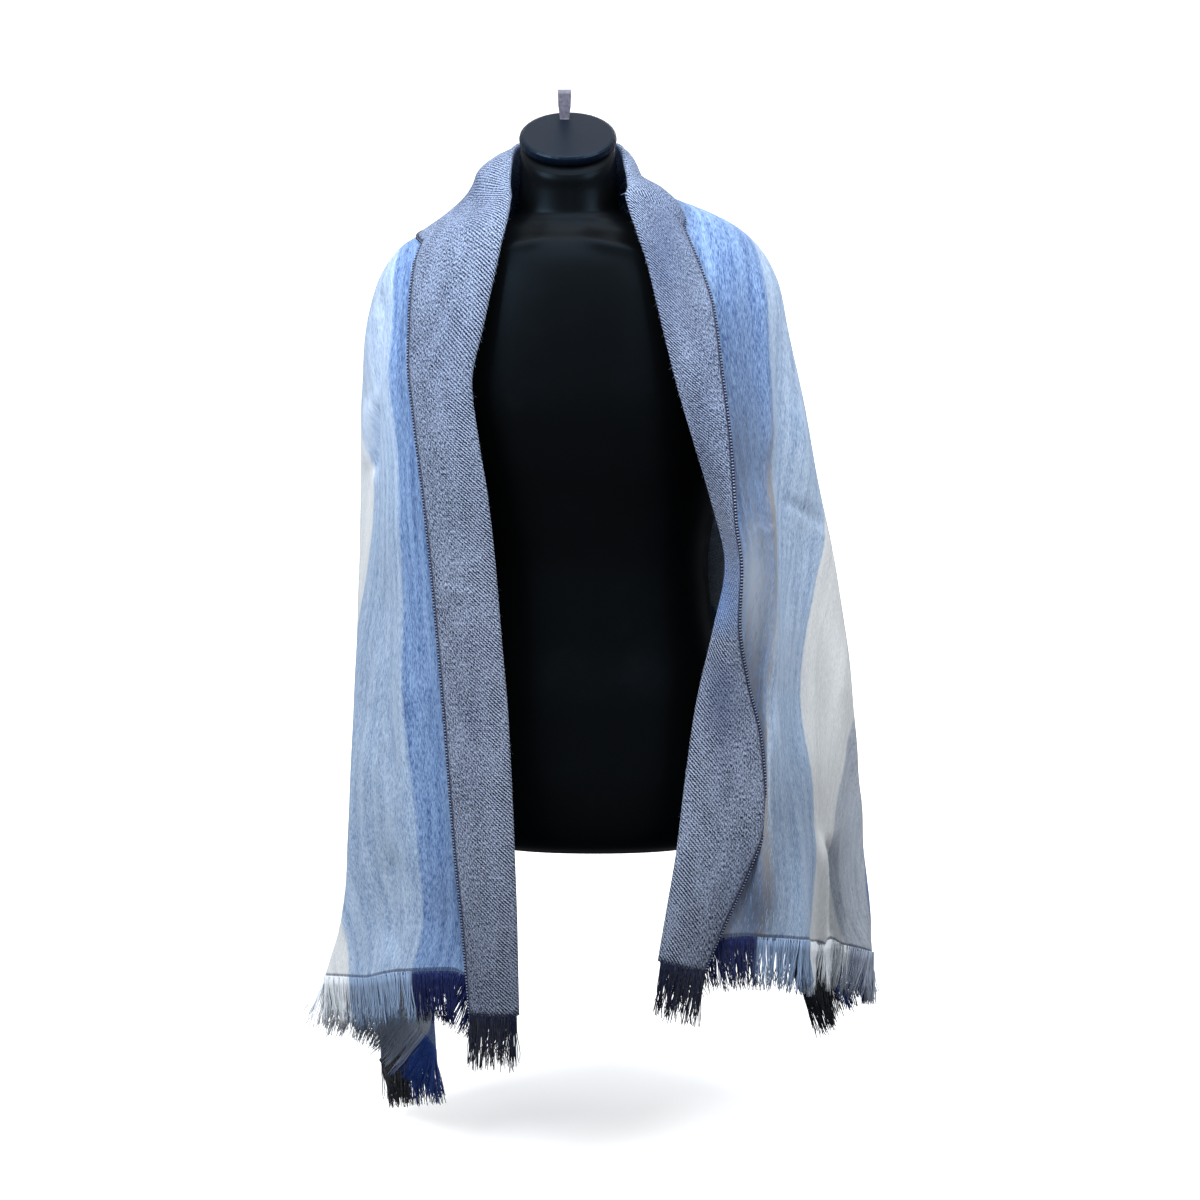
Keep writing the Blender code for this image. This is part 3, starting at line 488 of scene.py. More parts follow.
class Sheet:
    """One side of the cloth as a grid: rows go down, columns from the back to the front."""

    def __init__(self, side):
        self.side = side
        row = np.linspace(0, 1, FINE_ROWS + 1)[:, None] ** FINE_SPACING
        self.share = np.linspace(0, 1, HALF_COLUMNS + 1)
        share = np.broadcast_to(self.share, (FINE_ROWS + 1, HALF_COLUMNS + 1))
        top = FOLD_HEIGHT(share)
        low = EDGE_HEIGHT[side](share * front_angle(side, LOW_LEVEL))
        self.height = top + (low - top) * row ** ROW_POWER
        self.angle = share * front_angle(side, self.height)
        self.points = bare_point(side, self.angle, self.height) + NECK
        self.normals = cloth_normal(side, self.angle, self.height)
        corner = LEFT_CORNER if side < 0 else RIGHT_CORNER
        self.corner = int(round(corner / front_angle(side, LOW_LEVEL) * HALF_COLUMNS))
        self.measure()
        self.crease()
        self.band = self.band_points()

    def arc(self, points):
        """Lengths along a line of points."""
        steps = np.linalg.norm(np.diff(points, axis=0), axis=-1)
        return np.concatenate(([0.0], np.cumsum(steps)))

    def measure(self):
        """Works out each point's distance across and along the cloth."""
        neck = self.arc(self.points[0])
        down = self.arc(self.points[:, -1])
        selvedge = self.arc(self.points[-1, :self.corner + 1])
        length = neck[-1] + down[-1]
        on_fold = np.zeros(self.height.shape, dtype=bool)
        on_fold[0] = on_fold[:, -1] = True
        on_selvedge = np.zeros(self.height.shape, dtype=bool)
        on_selvedge[-1, :self.corner + 1] = True
        from_fold, from_selvedge = self.distance(on_fold), self.distance(on_selvedge)
        along = np.zeros_like(self.height)
        along[0] = neck
        along[:, -1] = neck[-1] + down
        along[-1, :self.corner + 1] = selvedge / selvedge[-1] * length
        along[-1, self.corner:] = length
        self.length = length
        self.across = from_fold / (from_fold + from_selvedge) * ACROSS_WIDTH
        self.along = self.relax(along)
        for reach in MARK_REACHES:
            self.follow_marks(reach)
        self.across = self.soften(self.across)

    def distance(self, starts):
        """Distance of each point from the nearest start, over the cloth."""
        far = np.where(starts, 0.0, 1e3)
        rows, columns = far.shape
        pairs = []
        for down, over in MOVES:
            a = (slice(0, rows - down), slice(max(0, -over), columns - max(0, over)))
            b = (slice(down, rows), slice(max(0, over), columns - max(0, -over)))
            pairs.append((a, b, np.linalg.norm(self.points[a] - self.points[b], axis=-1)))
        for _ in range(rows + columns):
            for a, b, length in pairs:
                np.minimum(far[a], far[b] + length, out=far[a])
                np.minimum(far[b], far[a] + length, out=far[b])
        return far

    def relax(self, field):
        """Evens a field out over the cloth between its fixed borders."""
        wide = np.linalg.norm(np.diff(self.points, axis=1), axis=-1)
        tall = np.linalg.norm(np.diff(self.points, axis=0), axis=-1)
        wide_mid = (wide[:, 1:] + wide[:, :-1])[1:-1] / 2
        tall_mid = (tall[1:] + tall[:-1])[:, 1:-1] / 2
        west, east = tall_mid / wide[1:-1, :-1], tall_mid / wide[1:-1, 1:]
        north, south = wide_mid / tall[:-1, 1:-1], wide_mid / tall[1:, 1:-1]
        total = west + east + north + south
        rows, columns = np.indices(total.shape)
        checks = [(rows + columns) % 2 == 0, (rows + columns) % 2 == 1]
        for _ in range(RELAX_STEPS):
            for check in checks:
                mean = (west * field[1:-1, :-2] + east * field[1:-1, 2:]
                        + north * field[:-2, 1:-1] + south * field[2:, 1:-1]) / total
                inner = field[1:-1, 1:-1]
                inner[check] += (RELAX_GAIN * (mean - inner))[check]
        return field

    def soften(self, field):
        """Rounds the stripes' corners off, between the fold and the lower edge."""
        for _ in range(SOFTEN_STEPS):
            padded = np.concatenate((field[:, 1:2], field), axis=1)
            mean = (padded[1:-1, :-2] + padded[1:-1, 2:] + field[:-2, :-1] + field[2:, :-1]) / 4
            field[1:-1, :-1] += 0.8 * (mean - field[1:-1, :-1])
        return field

    def follow_marks(self, mark_reach):
        """Bends the stripes so that their edges pass through the marks."""
        marks = [mark for mark in STRIPE_MARKS if mark.side == self.side]
        places = photo_place(self.points)
        facing = self.angle > 68
        spots, wanted, indices = [], [], []
        for mark in marks:
            far = np.where(facing, np.linalg.norm(places - np.array((mark.x, mark.y)), axis=-1), 1e9)
            near = far < max(MARK_NEAR, far.min() + 0.01)
            index = np.unravel_index(np.argmin(np.where(near, self.points[..., 1], 1e9)), far.shape)
            indices.append(index)
            spots.append((self.across[index], self.along[index]))
            wanted.append(mark.across - self.across[index])
        spots = np.array(spots)
        hold = np.sin(np.pi * np.clip(self.across / ACROSS_WIDTH, 0, 1)) ** 0.5
        hold = hold * ease(0.0, HEM_REACH, self.length - self.along)
        spot_hold = np.array([hold[index] for index in indices])

        def reach(a, b):
            return np.exp(-np.sum((a[..., None, :] - b) ** 2, -1) / mark_reach**2)

        pull = reach(spots, spots) * spot_hold[:, None] + np.eye(len(marks)) * 0.10
        weights = np.linalg.solve(pull, np.array(wanted))
        grid = np.stack((self.across, self.along), -1)
        self.across = self.across + (reach(grid, spots) @ weights) * hold

    def crease(self):
        """Adds small folds and creases to the outer face."""
        rise = np.zeros_like(self.height)
        for fold in SMALL_FOLDS:
            if fold.side == self.side:
                rise += fold.depth * fold_share(fold, self.angle, self.height)
        front = ease(66, 80, self.angle) * ease(0.20, 0.60, -self.normals[..., 1])
        rise += crease_height(CREASES, self.side, photo_place(self.points)) * front
        rise += ripple(self.across, self.along, 3 + self.side) * 0.0009 * ease(0.08, 0.16, self.across)
        covered = 1 - ease(0.075, 0.105, self.across)
        rise = np.where(rise > 0, rise * (1 - covered), rise * (1 - 0.7 * covered))
        self.rise = rise * ease(0.0, 0.02, self.across)
        self.points = self.points + self.normals * self.rise[..., None]

    def fold_line(self):
        """Indices of the collar fold: from the middle of the back, round the neck and down the front."""
        columns = np.arange(HALF_COLUMNS + 1)
        rows = np.arange(1, FINE_ROWS + 1)
        return np.append(np.zeros_like(columns), rows), np.append(columns, np.full_like(rows, HALF_COLUMNS))

    def free_edge(self, row, column):
        """Angle, height and lift of the collar's free edge beside a place on the fold, and its bulge."""
        side = self.side
        if row == 0:
            share = self.share[column]
            bands = LEFT_NECK_BAND if side < 0 else RIGHT_NECK_BAND
            bands = bands + [NeckBand(1.0, *self.front_edge(NECK_FOLD[-1].height))]
            bulge = COLLAR_ROLL + NECK_BULGE * math.sin(math.pi * share ** LIFT_SHAPE)
            if side < 0:
                bulge += LEFT_BRIDGE * math.sin(math.pi * share ** BRIDGE_SHAPE) ** 2
            names = NeckBand._fields[1:]
            return [*(float(smooth_curve(bands, "share", name)(share)) for name in names), bulge]
        return [*self.front_edge(self.height[row, column]), COLLAR_ROLL]

    def front_edge(self, height):
        """Angle, height and lift of the free edge down a front, by the fold's height."""
        side = self.side
        out = float(BAND_OUT[side](height))
        free_height = height + float(BAND_RISE[side](height))
        ratio = min(1.0, out / float(OUT[side](free_height))) ** (1 / RING_POWER)
        return 180 - math.degrees(math.asin(ratio)), free_height, float(BAND_LIFT[side](height))

    def band_points(self):
        """Lines across the turned-out band, one for each place on the fold."""
        rows, columns = self.fold_line()
        free = np.array([self.free_edge(row, column) for row, column in zip(rows, columns)])
        angle0, height0 = self.angle[rows, columns], self.height[rows, columns]
        base, normal = self.points[rows, columns], self.normals[rows, columns]
        inner_rows = np.where(rows == 0, 1, rows)
        inner_columns = np.where(columns == HALF_COLUMNS, HALF_COLUMNS - 1, columns)
        outward = base - self.points[inner_rows, inner_columns]
        tangent = unit(np.gradient(base, axis=0))
        outward -= tangent * np.sum(outward * tangent, -1, keepdims=True)
        outward -= normal * np.sum(outward * normal, -1, keepdims=True)
        outward = unit(outward)
        made = []
        for step in range(1, ROLL_STEPS + 1):
            turn = math.pi * step / ROLL_STEPS
            made.append(base + ROLL_RADIUS * (math.sin(turn) * outward + (1 - math.cos(turn)) * normal))
        for step in range(1, BAND_STEPS + 1):
            part = step / BAND_STEPS
            angle = angle0 + (free[:, 0] - angle0) * part
            height = height0 + (free[:, 1] - height0) * part
            lift = 2 * ROLL_RADIUS + (free[:, 2] - 2 * ROLL_RADIUS) * part ** LIFT_SHAPE
            lift += free[:, 3] * max(0.0, math.sin(math.pi * part ** ROLL_SHAPE)) ** ROLL_SHAPE
            point = bare_point(self.side, angle, height) + NECK
            creases = crease_height(BAND_CREASES, self.side, photo_place(point))
            lift += creases * math.sin(math.pi * part) ** 0.5
            made.append(point + cloth_normal(self.side, angle, height) * lift[:, None])
        return np.stack(made)


def linear(colour):
    """An sRGB colour from 0 to 255 as linear light."""
    values = [channel / 255 for channel in colour]
    return tuple(v / 12.92 if v <= 0.04045 else ((v + 0.055) / 1.055) ** 2.4 for v in values) + (1.0,)


class Nodes:
    """Short way to build a material's nodes."""

    def __init__(self, name):
        self.material = bpy.data.materials.new(name)
        self.material.use_nodes = True
        self.tree = self.material.node_tree
        self.shader = self.tree.nodes["Principled BSDF"]

    def put(self, value, socket):
        """Links an output to a socket, or sets the socket to a value."""
        if isinstance(value, bpy.types.NodeSocket):
            self.tree.links.new(value, socket)
        else:
            socket.default_value = value

    def add(self, kind, *values, **settings):
        """A node with its settings and its first inputs."""
        node = self.tree.nodes.new(kind)
        for name, value in settings.items():
            setattr(node, name, value)
        for value, socket in zip(values, node.inputs):
            self.put(value, socket)
        return node

    def math(self, operation, *values, clamp=False):
        """A Math node."""
        return self.add("ShaderNodeMath", *values, operation=operation, use_clamp=clamp).outputs[0]

    def times(self, *values):
        """Product of two values."""
        return self.math("MULTIPLY", *values)

    def plus(self, *values, clamp=False):
        """Sum of two values."""
        return self.math("ADD", *values, clamp=clamp)

    def mix(self, factor, first, second):
        """A Mix node for colours."""
        node = self.add("ShaderNodeMix", factor, data_type="RGBA")
        self.put(first, node.inputs[6])
        self.put(second, node.inputs[7])
        return node.outputs[2]

    def spread(self, value, low, high, to_low=0.0, to_high=1.0):
        """A Map Range node."""
        return self.add("ShaderNodeMapRange", value, low, high, to_low, to_high).outputs[0]

    def attributes(self, *names):
        """Numbers that the mesh carries."""
        return [self.add("ShaderNodeAttribute", attribute_name=name).outputs["Fac"] for name in names]

    def combine(self, x, y):
        """A vector from two numbers."""
        return self.add("ShaderNodeCombineXYZ", x, y).outputs[0]

    def noise(self, vector, scale=1.0, detail=2.0, roughness=0.5):
        """A Noise texture's value."""
        node = self.add("ShaderNodeTexNoise")
        names = ("Vector", "Scale", "Detail", "Roughness")
        for value, name in zip((vector, scale, detail, roughness), names):
            self.put(value, node.inputs[name])
        return node.outputs["Fac"]

    def fibres(self, across, per_across, along, per_along, **settings):
        """Noise stretched along the cloth, by how many cells there are to a metre each way."""
        place = self.combine(self.times(across, per_across), self.times(along, per_along))
        return self.noise(place, **settings)

    def place(self):
        """Object coordinates."""
        return self.add("ShaderNodeTexCoord").outputs["Object"]

    def bump(self, height, strength, distance):
        """Bump into the shader's normal."""
        node = self.add("ShaderNodeBump")
        for value, name in ((strength, "Strength"), (distance, "Distance"), (height, "Height")):
            self.put(value, node.inputs[name])
        self.put(node.outputs[0], self.shader.inputs["Normal"])

    def set(self, **values):
        """Sets or links the shader's sockets by name."""
        for name, value in values.items():
            self.put(value, self.shader.inputs[name.replace("_", " ")])


def stripe_ramp(nodes, across, column):
    """Colour of one yarn over the distance across the cloth."""
    ramp = nodes.add("ShaderNodeValToRGB")
    span = STRIPE_HIGH - STRIPE_LOW
    elements = ramp.color_ramp.elements
    for element, position, stripe in zip(elements, (0.0, 1.0), (STRIPES[0], STRIPES[-1])):
        element.position = position
        element.color = linear(getattr(stripe, column))
    for before, after in zip(STRIPES, STRIPES[1:]):
        for stripe, shift in ((before, -STRIPE_BLUR), (after, STRIPE_BLUR)):
            element = elements.new((after.start + shift - STRIPE_LOW) / span)
            element.color = linear(getattr(stripe, column))
    nodes.put(nodes.spread(across, STRIPE_LOW, STRIPE_HIGH), ramp.inputs[0])
    return ramp.outputs[0]


def brushed_material():
    """Outer face: heathered stripes under a long brushed nap."""
    nodes = Nodes("brushed_cloth")
    across, along, warm = nodes.attributes("across", "along", "warm")
    hem, painted_light_and_tone, low = nodes.attributes("to_hem", "painted_light_and_tone", "low")
    waver = nodes.noise(nodes.combine(along, 0.0), scale=34.0, detail=1.0)
    edge = nodes.plus(across, nodes.spread(waver, 0.0, 1.0, -EDGE_WAVER, EDGE_WAVER))
    drift = nodes.noise(nodes.combine(across, along), scale=60.0, detail=1.0)
    lean = nodes.plus(across, nodes.spread(drift, 0.0, 1.0, -HAIR_DRIFT, HAIR_DRIFT))
    hairs = nodes.fibres(lean, 820.0, along, 130.0, detail=3.0, roughness=0.7)
    tufts = nodes.fibres(lean, 170.0, along, 30.0)
    streaks = nodes.fibres(across, 120.0, along, 5.0)
    amount = nodes.plus(nodes.spread(hairs, 0.36, 0.64, 0.0, 0.90), nodes.spread(tufts, 0.3, 0.7, -0.14, 0.14))
    amount = nodes.plus(amount, nodes.spread(streaks, 0.3, 0.7, -0.26, 0.26), clamp=True)
    colour = nodes.mix(amount, stripe_ramp(nodes, edge, "light"), stripe_ramp(nodes, edge, "dark"))
    patchy = nodes.spread(nodes.plus(streaks, nodes.times(tufts, 0.4)), 0.50, 0.78, 0.18, 0.90)
    colour = nodes.mix(nodes.times(warm, patchy), colour, linear(TAN))
    seam = nodes.times(nodes.spread(hem, 0.0030, 0.0045), nodes.spread(hem, 0.0085, 0.0070))
    knots = nodes.noise(nodes.combine(nodes.times(across, 620.0), 0.0), detail=1.0)
    seam = nodes.times(seam, nodes.spread(knots, 0.35, 0.6, 0.25, 0.75))
    colour = nodes.mix(seam, colour, linear(SEAM_BLUE))
    # Painted light and shade, partly the cloth's own tone: paler spots, and darker greyer spots.
    colour = nodes.mix(nodes.spread(painted_light_and_tone, 0.0, 1.0), colour, linear(PAINTED_LIGHT_PALE))
    colour = nodes.mix(nodes.spread(painted_light_and_tone, 0.0, -1.0), colour, linear(PAINTED_SHADE_GREY))
    # Painted shade: the outer face darker towards the bottom.
    colour = nodes.mix(nodes.spread(low, 0.0, 1.0, 0.0, LOW_SHADE), colour, BLACK)
    nodes.set(Base_Color=colour, Roughness=0.92, Specular_IOR_Level=0.18, Sheen_Weight=0.20,
              Sheen_Roughness=0.45, Sheen_Tint=linear((222, 232, 246)))
    height = nodes.plus(nodes.times(hairs, 0.7), nodes.times(tufts, 0.5))
    nodes.bump(nodes.math("SUBTRACT", height, nodes.times(seam, 0.8)), 0.42, 0.0013)
    return nodes.material


def twill_material():
    """Reverse face: a crisp diagonal twill, softer and greyer away from the fold."""
    nodes = Nodes("reverse_twill")
    across, along, edge = nodes.attributes("across", "along", "to_edge")
    low, painted_light_and_tone, bottom_shade = nodes.attributes("low", "painted_light_and_tone", "bottom_shade")
    bend = nodes.noise(nodes.combine(across, along), scale=90.0, detail=2.0)
    bent = nodes.spread(bend, 0.0, 1.0, -WALE_BEND, WALE_BEND)
    diagonal = nodes.plus(nodes.plus(across, along), bent)
    wale = nodes.math("SINE", nodes.times(diagonal, 2 * math.pi / WALE))
    pick = nodes.math("SINE", nodes.times(nodes.math("SUBTRACT", along, bent), 2 * math.pi / PICK))
    weave = nodes.plus(nodes.times(wale, 0.60), nodes.times(pick, 0.22))
    threads = nodes.fibres(across, 820.0, along, 300.0, detail=3.0, roughness=0.75)
    blotch = nodes.fibres(across, 60.0, along, 20.0, detail=3.0)
    crisp = nodes.times(nodes.spread(nodes.math("ABSOLUTE", across), 0.052, 0.018, 0.28, 1.0),
                        nodes.spread(blotch, 0.30, 0.62, 0.35, 1.0))
    amount = nodes.plus(nodes.times(weave, crisp), nodes.spread(threads, 0.38, 0.62, 0.0, 1.0))
    amount = nodes.plus(amount, nodes.spread(blotch, 0.3, 0.7, -0.02, 0.18), clamp=True)
    colour = nodes.mix(amount, stripe_ramp(nodes, across, "light"), stripe_ramp(nodes, across, "dark"))
    grey = nodes.mix(amount, linear(GREY_LIGHT), linear(GREY_DARK))
    greyed = nodes.mix(nodes.times(low, 0.55), colour, grey)
    colour = nodes.mix(nodes.spread(across, 0.0, 0.002), greyed, colour)
    # Painted light and shade on the band, partly its own tone: bluer spots, and navy spots.
    colour = nodes.mix(nodes.times(nodes.spread(painted_light_and_tone, 0.0, 1.0), 0.55), colour, linear(BAND_PAINTED_LIGHT))
    colour = nodes.mix(nodes.spread(painted_light_and_tone, 0.0, -1.0, 0.0, 0.5), colour, linear(BAND_PAINTED_SHADE))
    # Painted shade: the band darker towards the bottom.
    colour = nodes.mix(nodes.times(bottom_shade, 0.30), colour, BLACK)
    rim = nodes.spread(edge, 0.0032, 0.0018, 0.0, 0.8)
    colour = nodes.mix(rim, colour, linear(RIM_NAVY))
    nodes.set(Base_Color=colour, Roughness=0.9, Specular_IOR_Level=0.2, Sheen_Weight=0.10,
              Sheen_Roughness=0.5, Sheen_Tint=linear((222, 230, 244)))
    nodes.bump(nodes.plus(nodes.times(nodes.times(weave, crisp), -0.8), threads), 0.6, 0.0014)
    return nodes.material


def yarn_material():
    """Loose warp ends, in the stripes' own yarns."""
    nodes = Nodes("fringe_yarn")
    across, along = nodes.attributes("across", "along")
    fleck = nodes.spread(nodes.fibres(across, 900.0, along, 200.0), 0.42, 0.72, 0.0, 0.10)
    colour = nodes.mix(fleck, stripe_ramp(nodes, across, "fringe"), linear((120, 136, 168)))
    nodes.set(Base_Color=colour, Roughness=0.9, Specular_IOR_Level=0.12, Sheen_Weight=0.08,
              Sheen_Roughness=0.5)
    return nodes.material


def nap_material():
    """Single brushed hairs, a little lighter or darker than the cloth below."""
    nodes = Nodes("nap_hairs")
    across, tone = nodes.attributes("across", "tone")
    colour = nodes.mix(tone, stripe_ramp(nodes, across, "light"), stripe_ramp(nodes, across, "dark"))
    nodes.set(Base_Color=colour, Roughness=0.85, Specular_IOR_Level=0.2, Sheen_Weight=0.5, Sheen_Roughness=0.4)
    return nodes.material


def selvedge_material():
    """Navy whipped edge with pale stitches between."""
    nodes = Nodes("selvedge")
    stitch = nodes.spread(nodes.attributes("bead")[0], 0.16, 0.40)
    colour = nodes.mix(stitch, linear((172, 184, 208)), linear((20, 26, 52)))
    nodes.set(Base_Color=colour, Roughness=0.8, Specular_IOR_Level=0.25)
    return nodes.material


def plastic_material(name, gloss, base, worn):
    """Black semi-gloss moulded plastic with a faint grain and scuffs."""
    nodes = Nodes(name)
    place = nodes.place()
    grain = nodes.noise(place, scale=900.0)
    scuff = nodes.noise(place, scale=14.0, detail=6.0, roughness=0.7)
    colour = nodes.mix(nodes.spread(scuff, 0.55, 0.80, 0.0, 0.5), linear(base), linear(worn))
    nodes.set(Base_Color=colour, Roughness=nodes.spread(scuff, 0.3, 0.7, 0.30, 0.40), Specular_IOR_Level=gloss,
              Specular_Tint=(0.42, 0.70, 1.0, 1))
    nodes.bump(nodes.plus(nodes.times(grain, 0.2), scuff), 0.12, 0.0008)
    return nodes.material


def ribbon_material():
    """Satin ribbon with fine crosswise ribs."""
    nodes = Nodes("satin_ribbon")
    place = nodes.place()
    ribs = nodes.add("ShaderNodeSeparateXYZ", place).outputs[0]
    ribs = nodes.math("SINE", nodes.times(ribs, 2 * math.pi / RIBBON_RIB))
    shade = nodes.noise(place, scale=240.0, detail=3.0)
    colour = nodes.mix(nodes.spread(shade, 0.3, 0.7), linear((112, 112, 130)), linear((74, 74, 92)))
    nodes.set(Base_Color=colour, Roughness=0.42, Specular_IOR_Level=0.5, Anisotropic=0.5, Sheen_Weight=0.3)
    nodes.bump(nodes.plus(nodes.times(ribs, 0.4), shade), 0.35, 0.0004)
    return nodes.material


def mesh_object(name, points, faces, materials, values=None, smooth=True):
    """A mesh with named point values."""
    mesh = bpy.data.meshes.new(name)
    mesh.from_pydata([tuple(point) for point in points], [], faces)
    for material in materials:
        mesh.materials.append(material)
    for key, numbers in (values or {}).items():
        layer = mesh.attributes.new(key, "FLOAT", "POINT")
        layer.data.foreach_set("value", np.asarray(numbers, dtype=np.float32))
    if smooth:
        mesh.shade_smooth()
    mesh.update()
    made = bpy.data.objects.new(name, mesh)
    bpy.context.scene.collection.objects.link(made)
    return made


def quads(index, nxt):
    """Faces between lines of point indices, each line beside the next column."""
    corners = (index[..., :-1, :], nxt[..., :-1, :], nxt[..., 1:, :], index[..., 1:, :])
    return np.stack(corners, -1).reshape(-1, 4).tolist()


def ring_around(first, second, sides):
    """Unit rings of points in the planes of two directions."""
    turn = (np.arange(sides) * 2 * np.pi / sides)[:, None]
    return first[..., None, :] * np.cos(turn) + second[..., None, :] * np.sin(turn)


def make_cloth(sheets, brushed, twill):
    """The whole cloth as one thin shell: both sides, the soft fold and the turned-out band."""
    left, right = sheets[-1], sheets[1]

    def joined(a, b):
        return np.concatenate((a[:, ::-1], b[:, 1:]), axis=1)

    grid = joined(left.points, right.points)
    ids = np.arange(grid.shape[0] * grid.shape[1]).reshape(grid.shape[:2])
    faces = np.stack((ids[:-1, :-1], ids[1:, :-1], ids[1:, 1:], ids[:-1, 1:]), -1).reshape(-1, 4).tolist()
    grid = grid.reshape(-1, 3)
    along = joined(-left.along, right.along).ravel()
    on_cloth = joined(left.across, right.across).ravel()
    length = joined(np.full(left.across.shape, left.length), np.full(right.across.shape, right.length)).ravel()

    line = np.concatenate((ids[1:, 0][::-1], ids[0], ids[1:, -1]))
    band = joined(left.band, right.band)
    count = band.shape[1]
    band_ids = np.concatenate((line[None], np.arange(len(band) * count).reshape(-1, count) + len(grid)))
    over = np.stack((band_ids[:-1, :-1], band_ids[:-1, 1:], band_ids[1:, 1:], band_ids[1:, :-1]), -1)
    faces += over.reshape(-1, 4).tolist()
    full = np.concatenate((grid[line][None], band))
    reach = np.cumsum(np.linalg.norm(np.diff(full, axis=0), axis=-1), axis=0)

    points = np.concatenate((grid, band.reshape(-1, 3)))
    across = np.concatenate((on_cloth, -reach.ravel()))
    tan = np.exp(-((across - 0.085) / 0.028) ** 2) * 0.8 + np.exp(-((across - 0.118) / 0.006) ** 2)
    seen = photo_place(points)
    # Painted light and shade, partly the cloth's own tone, from the spots in SHADES.
    painted_light_and_tone = np.zeros(len(points))
    for shade in SHADES:
        near = ((seen[:, 0] - shade.x) / shade.wide) ** 2 + ((seen[:, 1] - shade.y) / shade.tall) ** 2
        painted_light_and_tone += shade.amount * np.exp(-near)
    height = points[:, 2]
    values = {
        "across": across,
        "along": np.concatenate((along, np.broadcast_to(along[line], band.shape[:2]).ravel())),
        "to_hem": np.concatenate((length - np.abs(along), np.full(len(band) * count, 1.0))),
        "to_edge": np.concatenate((ACROSS_WIDTH - on_cloth, (reach[-1] - reach).ravel())),
        "warm": tan * ease(-0.30, -0.46, height) * (points[:, 0] > 0.02) * (points[:, 1] < -0.03),
        # darker towards the bottom: painted shade on the outer face, and greyer on the band
        "low": ease(-0.18, -0.62, height),
        "painted_light_and_tone": painted_light_and_tone * (points[:, 1] < NECK[1]),
        # painted shade: the band darker towards the bottom
        "bottom_shade": ease(-0.76, -0.97, height),
    }
    cloth = mesh_object("shawl_cloth", points, faces, (twill, brushed), values)
    shell = cloth.modifiers.new("thin_shell", "SOLIDIFY")
    shell.thickness = THICKNESS
    shell.offset = 0
    shell.use_even_offset = False
    shell.material_offset = 1
    bpy.context.view_layer.objects.active = cloth
    cloth.select_set(True)
    bpy.ops.object.modifier_apply(modifier=shell.name)
    cloth.select_set(False)
    return cloth, full[-1]


Hairs = namedtuple("Hairs", "roots directions widths aside across tone")


def make_hairs(name, tufts, material):
    """Thin triangles with a narrow root and a point at the tip."""
    half = [hairs.aside * (hairs.widths / 2)[:, None] for hairs in tufts]
    points = np.concatenate([
        np.stack((hairs.roots - wide, hairs.roots + wide, hairs.roots + hairs.directions), 1).reshape(-1, 3)
        for hairs, wide in zip(tufts, half)])
    faces = np.arange(len(points)).reshape(-1, 3).tolist()
    values = {"across": [hairs.across for hairs in tufts], "tone": [hairs.tone for hairs in tufts]}
    values = {key: np.repeat(np.concatenate(numbers), 3) for key, numbers in values.items()}
    return mesh_object(name, points, faces, (material,), values, smooth=False)


def make_nap(sheets, material):
    """Brushed hairs that lie down the outer face."""
    chance = np.random.default_rng(11)
    tufts = []
    for sheet in sheets.values():
        row = chance.uniform(1, FINE_ROWS - 2, NAP_HAIRS)
        column = chance.uniform(0, HALF_COLUMNS - 1.001, NAP_HAIRS)
        r, c = row.astype(int), column.astype(int)
        fr, fc = (row - r)[:, None], (column - c)[:, None]

        def blend(field):
            field = field if field.ndim == 3 else field[..., None]
            return ((1 - fr) * ((1 - fc) * field[r, c] + fc * field[r, c + 1])
                    + fr * ((1 - fc) * field[r + 1, c] + fc * field[r + 1, c + 1]))

        point, normal = blend(sheet.points), unit(blend(sheet.normals))
        across = blend(sheet.across)[:, 0]
        flow = 0
        for down, over in ((0, 1), (1, 0)):
            step = sheet.points[r + down, c + over] - sheet.points[r, c]
            gain = sheet.along[r + down, c + over] - sheet.along[r, c]
            flow = flow + unit(step) * (gain / np.maximum(np.linalg.norm(step, axis=1), 1e-6))[:, None]
        flow = unit(flow)
        stray = unit(np.cross(normal, flow)) * chance.normal(0, 0.22, NAP_HAIRS)[:, None]
        flow = unit(flow + np.array((0, 0, -0.55)) + stray)
        length = chance.uniform(0.005, 0.013, NAP_HAIRS)[:, None]
        lift = chance.uniform(0.02, 0.16, NAP_HAIRS)[:, None]
        lying = unit(flow - normal * np.sum(flow * normal, 1, keepdims=True))
        direction = (lying + normal * lift) * length
        widths = chance.uniform(0.00016, 0.00036, NAP_HAIRS)
        tone = np.clip(chance.normal(0.40, 0.22, NAP_HAIRS), 0, 1)
        aside = unit(np.cross(direction, normal))
        hairs = (point + normal * (THICKNESS / 2), direction, widths, aside, across, tone)
        tufts.append(Hairs(*(values[across > BAND_COVER] for values in hairs)))
    return make_hairs("nap_hairs", tufts, material)


def make_edge_fuzz(sheets, material):
    """Stray fibres that stand off the folded front edges."""
    chance = np.random.default_rng(5)
    tufts = []
    for sheet in sheets.values():
        line = sheet.band[ROLL_STEPS // 2 - 1][HALF_COLUMNS // 2:]
        outward = line - sheet.points[sheet.fold_line()][HALF_COLUMNS // 2:]
        count = len(line) * FUZZ_HAIRS
        at = chance.uniform(0, len(line) - 1.001, count)
        i = at.astype(int)
        part = (at - i)[:, None]
        root = line[i] * (1 - part) + line[i + 1] * part
        out = unit(outward[i] * (1 - part) + outward[i + 1] * part)
        length = chance.gamma(2.0, 0.0011, count)[:, None] + 0.0010
        wild = chance.normal(0, 0.45, (count, 3))
        direction = unit(out + np.array((0, 0, -0.8)) + wild) * length
        widths = chance.uniform(0.00016, 0.0003, count)
        tone = chance.uniform(0, 1, count)
        aside = unit(np.cross(direction, wild + 0.1))
        tufts.append(Hairs(root, direction, widths, aside, np.full(count, -0.01), tone))
    return make_hairs("edge_fuzz", tufts, material)


